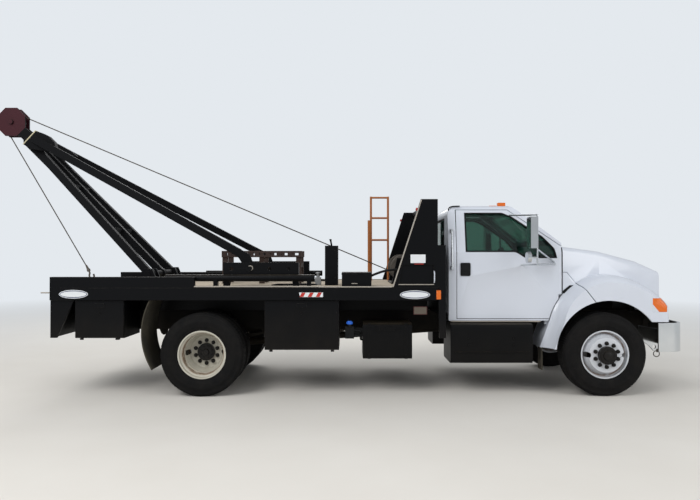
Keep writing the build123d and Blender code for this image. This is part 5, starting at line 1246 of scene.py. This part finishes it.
def step_tread(bm):
    """Ribbed step plate: a sheet with rows of raised ribs."""
    block(bm, (0.712, -TANK_REAR_Y - 0.004, 0.794), (1.020, -TANK_REAR_Y + 0.002, 0.868))
    for index in range(14):
        x = 0.723 + 0.022 * index
        block(bm, (x - 0.004, -TANK_REAR_Y - 0.009, 0.800), (x + 0.004, -TANK_REAR_Y, 0.862))


def blue_cap(bm):
    """Knurled screw cap of the small reservoir."""
    bar(bm, (0.399, -1.100, 0.878), (0.399, -1.100, 0.908), 0.036, 0.034, 28)
    bar(bm, (0.399, -1.100, 0.906), (0.399, -1.100, 0.916), 0.030, 0.024, 28)
    for index in range(14):
        angle = math.tau * index / 14
        x, y = 0.399 + 0.035 * math.cos(angle), -1.100 + 0.035 * math.sin(angle)
        bar(bm, (x, y, 0.880), (x, y, 0.904), 0.0035, sides=8)


def reservoir(bm):
    """Reservoir, its bracket from the tank's end wall, and the pipe elbows below it."""
    block(bm, (0.345, -1.106, 0.700), (0.455, -1.000, 0.850))
    bar(bm, (0.399, -1.100, 0.845), (0.399, -1.100, 0.882), 0.026)
    block(bm, (0.450, -1.060, 0.720), (0.566, -1.040, 0.830))
    for z in (0.735, 0.800):
        bar(bm, (0.455, -1.085, z), (0.500, -1.085, z), 0.016, sides=6)
        pipe(bm, [(0.495, -1.085, z), (0.525, -1.085, z), (0.535, -1.085, z - 0.025),
                  (0.535, -1.030, z - 0.060), (0.566, -1.000, z - 0.060)], 0.010)


pair("tank_straps", tank_straps, step_enamel, "truck", "tank_black", 0.001)
single("step_tread_right", step_tread, step_enamel, "truck", 0.001)
single("blue_cap", blue_cap, cap_plastic, "truck", 0.001)
single("reservoir", reservoir, black_plastic, "truck", 0.004)

# %% [markdown]
# The two struts hang on the pipe at the mast's head. Each is a square tube with a lug at either
# end: the upper one is cut square, and on the right it is humped and its paint has chipped to
# cream primer. The lower one bends down to the guide's pin, and is narrow enough to dip
# between the guide's plates when the mast is lowered. They are drawn in distance along the
# strut and rise above its centre line, so that one list of numbers reads like a drawing.

# %% The mast's struts
STRUT_LENGTH = 3.588
STRUT_ALONG = Vector((0.8771, 0, -0.4805))
STRUT_RISE = Vector((0.4805, 0, 0.8771))
STRUT_HEAD_Y, STRUT_FOOT_Y = 0.335, 1.000
# Only the right lug has a hump; the photograph shows none behind it.
HUMP = ((0.070, 0.182), (0.164, 0.199), (0.255, 0.203), (0.364, 0.171))
FLAT_TOP = ((0.045, 0.124), (0.300, 0.127))


def strut_point(along, rise, y=0.0):
    """Place at a distance along the strut and a rise above the line between its pins."""
    place = Vector((HEAD_X, 0, HEAD_Z)) + STRUT_ALONG * along + STRUT_RISE * rise
    return Vector((place.x, y, place.z))


def strut_plate(bm, outline, y0, y1):
    """Plate whose outline is given along and above the strut."""
    points = [strut_point(along, rise) for along, rise in outline]
    plate(bm, [(point.x, point.z) for point in points], y0, y1)


def beam(bm, start, end, width, depth):
    """Square-cut beam between two points, with its width across the truck."""
    run = end - start
    along = run.normalized()
    across = (Vector((0, 1, 0)) - along * along.y).normalized()
    shape = Matrix((along * run.length, across * width, across.cross(along) * depth))
    matrix = Matrix.Translation((start + end) / 2) @ shape.transposed().to_4x4()
    bmesh.ops.create_cube(bm, size=1.0, matrix=matrix)


def strut(bm, sign):
    """Tube, humped head lug, foot lug and the boss on the guide's pin."""
    spread = STRUT_FOOT_Y - STRUT_HEAD_Y
    ends = [strut_point(s, rise, sign * (STRUT_HEAD_Y + spread * s / STRUT_LENGTH))
            for s, rise in ((0.10, 0.073), (3.360, 0.107))]
    beam(bm, *ends, 0.090, 0.098)
    top = HUMP if sign < 0 else FLAT_TOP
    strut_plate(bm, [(0.012, -0.058), *top, (0.430, 0.100), (0.300, 0.000), (0.120, -0.062)],
                sign * 0.290, sign * 0.382)
    strut_plate(bm, [(3.200, 0.070), (3.250, 0.154), (3.500, 0.157), (3.575, 0.090),
                     (3.625, 0.005), (3.588, -0.038), (3.530, -0.022), (3.400, 0.052)],
                sign * 0.977, sign * 1.023)
    bar(bm, strut_point(STRUT_LENGTH, 0.0, sign * 0.974),
        strut_point(STRUT_LENGTH, 0.0, sign * 1.026), 0.034, sides=24)


bm = bmesh.new()
for sign in (-1, 1):
    strut(bm, sign)
struts = finish("mast_struts_shape", bm, mast_enamel, "struts", 0.004)
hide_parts("mast_struts")


def chipped_edges(bm):
    """Cream primer along the square-cut end of the humped lug."""
    strut_plate(bm, [(0.003, -0.060), (0.017, -0.060), (0.077, 0.182), (0.062, 0.187)],
                -0.286, -0.3845)


def leg_head_plates(bm):
    """Gusset that widens each leg below the head pipe."""
    plate(bm, [(-4.050, 3.246), (-3.963, 3.362), (-3.830, 3.235), (-3.560, 2.810),
               (-3.562, 2.760)], -0.262, -0.280)


single("chipped_edge", chipped_edges, primer, "struts", 0.002)
pair("leg_head_plates", leg_head_plates, mast_enamel, "mast", "bed_black", 0.002)


def ring_pins(bm):
    """Pull ring of the pin that holds the strut's foot."""
    bar(bm, (-0.838, -1.036, 1.560), (-0.838, -1.052, 1.560), 0.012)
    ring(bm, (-0.832, -1.050, 1.566), (0, 1, 0), 0.028, 0.006)


pair("ring_pins", ring_pins, rubbed_metal_and_highlight, "truck", "winch_steel")

# %% [markdown]
# A ladder frame of rusty pipe stands on the far side of the deck. Its rear post is stout up to
# two thirds of its height, and the rest is thin pipe with three rungs.

# %% Ladder frame
LADDER_Y = 0.900


def ladder(bm):
    for x, radius, top in ((0.705, 0.026, 2.270), (0.730, 0.017, 2.639), (0.995, 0.017, 2.639)):
        bar(bm, (x, LADDER_Y, DECK_TOP), (x, LADDER_Y, top), radius)
    for z in (1.965, 2.306, 2.622):
        bar(bm, (0.715, LADDER_Y, z), (1.010, LADDER_Y, z), 0.015)


bm = bmesh.new()
ladder(bm)
ladder_shape = finish("ladder_rack_shape", bm, ladder_enamel, "truck",
                      0.001)
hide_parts("ladder_rack")

# %% [markdown]
# Between the mast and the cab the deck holds the winch's controls. Lever knobs, a valve with
# steel pipes, the rim and handle of the chest, and a pipe that runs forward to the winch are
# small, but they break up the dark boxes as they do in the photograph.

# %% Fittings on the deck
def lever_knobs(bm):
    for index in range(4):
        y = -0.71 + 0.06 * index
        bar(bm, (0.150, y, 1.915), (0.150, y, 1.926), 0.007, 0.014, 14)
        bar(bm, (0.150, y, 1.926), (0.150, y, 1.936), 0.014, 0.013, 14)


def stand_plate(bm):
    """Raised service panel and its bolts on the control stand."""
    plate(bm, rectangle(0.105, 0.228, 1.420, 1.800), -0.759, -0.763, 0.008)
    for x in (0.118, 0.215):
        for z in (1.435, 1.785):
            bar(bm, (x, -0.762, z), (x, -0.768, z), 0.007, sides=6)


def chest_trim(bm):
    """Rolled rim of the chest's lid."""
    block(bm, (0.300, -1.134, 1.488), (0.673, -1.128, 1.506))


def chest_handle(bm):
    pipe(bm, [(0.425, -1.128, 1.379), (0.427, -1.142, 1.379), (0.492, -1.142, 1.379),
              (0.494, -1.128, 1.379)], 0.005, smooth=False)


def valve(bm):
    """Valve body with a hand screw and two elbows."""
    block(bm, (-0.048, -0.690, 1.338), (0.028, -0.610, 1.440))
    bar(bm, (-0.010, -0.650, 1.438), (-0.010, -0.650, 1.492), 0.018)
    bar(bm, (-0.010, -0.650, 1.488), (-0.010, -0.650, 1.506), 0.034, 0.030, 20)
    pipe(bm, [(-0.046, -0.650, 1.390), (-0.100, -0.650, 1.390), (-0.120, -0.650, 1.372),
              (-0.120, -0.650, 1.338)], 0.014)


def deck_pipes(bm):
    """Bent steel pipes from the valve to the guide's tube and from the chest to the winch."""
    pipe(bm, [(0.026, -0.650, 1.400), (0.060, -0.650, 1.400), (0.080, -0.640, 1.400)], 0.012)
    pipe(bm, [(-0.030, -0.700, 1.339), (-0.040, -0.740, 1.352), (-0.200, -0.800, 1.354),
              (-0.420, -0.820, 1.353), (-0.560, -0.800, 1.352), (-0.600, -0.800, 1.336)], 0.013)
    pipe(bm, [(0.662, -0.900, 1.462), (0.720, -0.900, 1.488), (0.840, -0.900, 1.530),
              (0.960, -0.890, 1.546), (1.060, -0.880, 1.530), (1.090, -0.875, 1.440),
              (1.090, -0.870, 1.338)], 0.016)


single("lever_knobs", lever_knobs, black_plastic, "truck")
single("stand_plate", stand_plate, black_enamel, "truck", 0.001)
single("chest_rim", chest_trim, black_enamel, "truck", 0.002)
single("chest_handle", chest_handle, rubbed_metal_and_highlight, "truck")
single("deck_valve", valve, grey_enamel, "truck", 0.002)
single("deck_pipes", deck_pipes, hose_rubber, "truck")

# %% [markdown]
# The roof's rear corner carries a black drip strip, a bent rubber moulding that keeps rain off
# the door's edge. A curve with a round section gives it.

# %% Drip strips
def drip_strip(bm):
    """Black strip round the cab's rear roof corner."""
    y = skin_y(2.330) + 0.002
    pipe(bm, [(1.652, -y, 2.290), (1.660, -y + 0.004, 2.325), (1.690, -y + 0.010, 2.345),
              (1.760, -y + 0.010, 2.350), (1.800, -y + 0.010, 2.350)], 0.009)


pair("drip_strip", drip_strip, seal_rubber, "truck", "grey_trim")

# %% [markdown]
# A studio for a single object needs a pale floor, an even sky and one soft lamp from the side
# that the camera is on. The world shows the camera one pale colour, so the background stays
# even, and the floor keeps the truck's shadow.

# %% Floor, light and camera
FLOOR_SIZE = 60
floor_bm = bmesh.new()
bmesh.ops.create_grid(floor_bm, x_segments=2, y_segments=2, size=FLOOR_SIZE)
floor_mesh = bpy.data.meshes.new("floor")
floor_bm.to_mesh(floor_mesh)
floor_bm.free()
floor_mesh.shade_flat()
floor = bpy.data.objects.new("floor", floor_mesh)
bpy.context.scene.collection.objects.link(floor)
floor_paint, tree, shader, place = new_material("pale_studio_floor")
mottle = add(tree, "ShaderNodeTexNoise", {"Vector": place, "Scale": per_metre(900),
                                          "Detail": 5.0})
tree.links.new(blend_by(tree, mottle.outputs["Fac"], linear("#D6D1C9"), linear("#DEDAD3")),
               shader.inputs["Base Color"])
shader.inputs["Roughness"].default_value = 0.95
# Far from the truck the floor goes over into the backdrop's colour.
distance = add(tree, "ShaderNodeVectorMath", {0: place}, operation="LENGTH").outputs["Value"]
far = add(tree, "ShaderNodeMapRange", {"Value": distance, "From Min": 5.0, "From Max": 20.0})
eye = add(tree, "ShaderNodeLightPath")
eyes = arithmetic(tree, "ADD", eye.outputs["Is Camera Ray"], eye.outputs["Is Glossy Ray"])
eyes = arithmetic(tree, "ADD", eyes, eye.outputs["Is Transmission Ray"])
glow = add(tree, "ShaderNodeEmission", {"Color": linear("#E4E9EE"), "Strength": 1.0})
surface = add(tree, "ShaderNodeMixShader", {0: arithmetic(tree, "MULTIPLY", far.outputs[0], eyes),
                                            1: shader.outputs[0], 2: glow.outputs[0]})
tree.links.new(surface.outputs[0], tree.nodes["Material Output"].inputs["Surface"])
floor_mesh.materials.append(floor_paint)

world = bpy.data.worlds.new("studio")
world.use_nodes = True
bpy.context.scene.world = world
sky = world.node_tree
for old in list(sky.nodes):
    sky.nodes.remove(old)
path = add(sky, "ShaderNodeLightPath")
seen = arithmetic(sky, "ADD", path.outputs["Is Camera Ray"], path.outputs["Is Transmission Ray"])
backdrop = add(sky, "ShaderNodeBackground", {"Color": linear("#E4E9EE"), "Strength": 1.0})
ambient = add(sky, "ShaderNodeBackground", {"Color": linear("#E8ECF0"), "Strength": 0.62})
both_skies = add(sky, "ShaderNodeMixShader", {0: seen, 1: ambient.outputs[0],
                                              2: backdrop.outputs[0]})
add(sky, "ShaderNodeOutputWorld", {"Surface": both_skies.outputs[0]})

# columns: name, place, power in watts, size, point it faces
LAMPS = [
    ("key_lamp", (-6.0, -9.0, 9.0), 900, 7.0, (0.0, 0.0, 1.2)),
    ("fill_lamp", (9.0, -7.0, 5.0), 350, 6.0, (1.0, 0.0, 1.0)),
    ("back_lamp", (-2.0, 9.0, 8.0), 500, 7.0, (0.0, 0.0, 1.2)),
]
for name, place, power, size, target in LAMPS:
    lamp = bpy.data.lights.new(name, "AREA")
    lamp.energy = power
    lamp.size = size
    holder = bpy.data.objects.new(name, lamp)
    holder.location = place
    facing = Vector(target) - Vector(place)
    holder.rotation_euler = facing.to_track_quat("-Z", "Y").to_euler()
    bpy.context.scene.collection.objects.link(holder)
print("lamps:", len(LAMPS))

# %% [markdown]
# The photograph was taken from the truck's right with a moderate wide lens, from a standing
# height of 1.72 m. Its horizon lies a few pixels below the middle, so the camera looks up by
# half a degree.

# %% Camera
IMAGE_WIDTH, FOCAL_PIXELS, SENSOR_WIDTH = 700, 626, 36.0
HORIZON_DROP = 6
camera_data = bpy.data.cameras.new("camera")
camera_data.sensor_width = SENSOR_WIDTH
camera_data.lens = FOCAL_PIXELS / IMAGE_WIDTH * SENSOR_WIDTH
camera = bpy.data.objects.new("camera", camera_data)
camera.location = (0.405, -8.82, 1.717)
tilt = math.atan2(HORIZON_DROP, FOCAL_PIXELS)
camera.rotation_euler = Euler((math.pi / 2 + tilt, 0, 0))
bpy.context.scene.collection.objects.link(camera)
bpy.context.scene.camera = camera
bpy.context.scene.view_settings.view_transform = "Standard"
print("camera at", tuple(round(value, 3) for value in camera.location))

# %% Finish
bpy.context.view_layer.update()
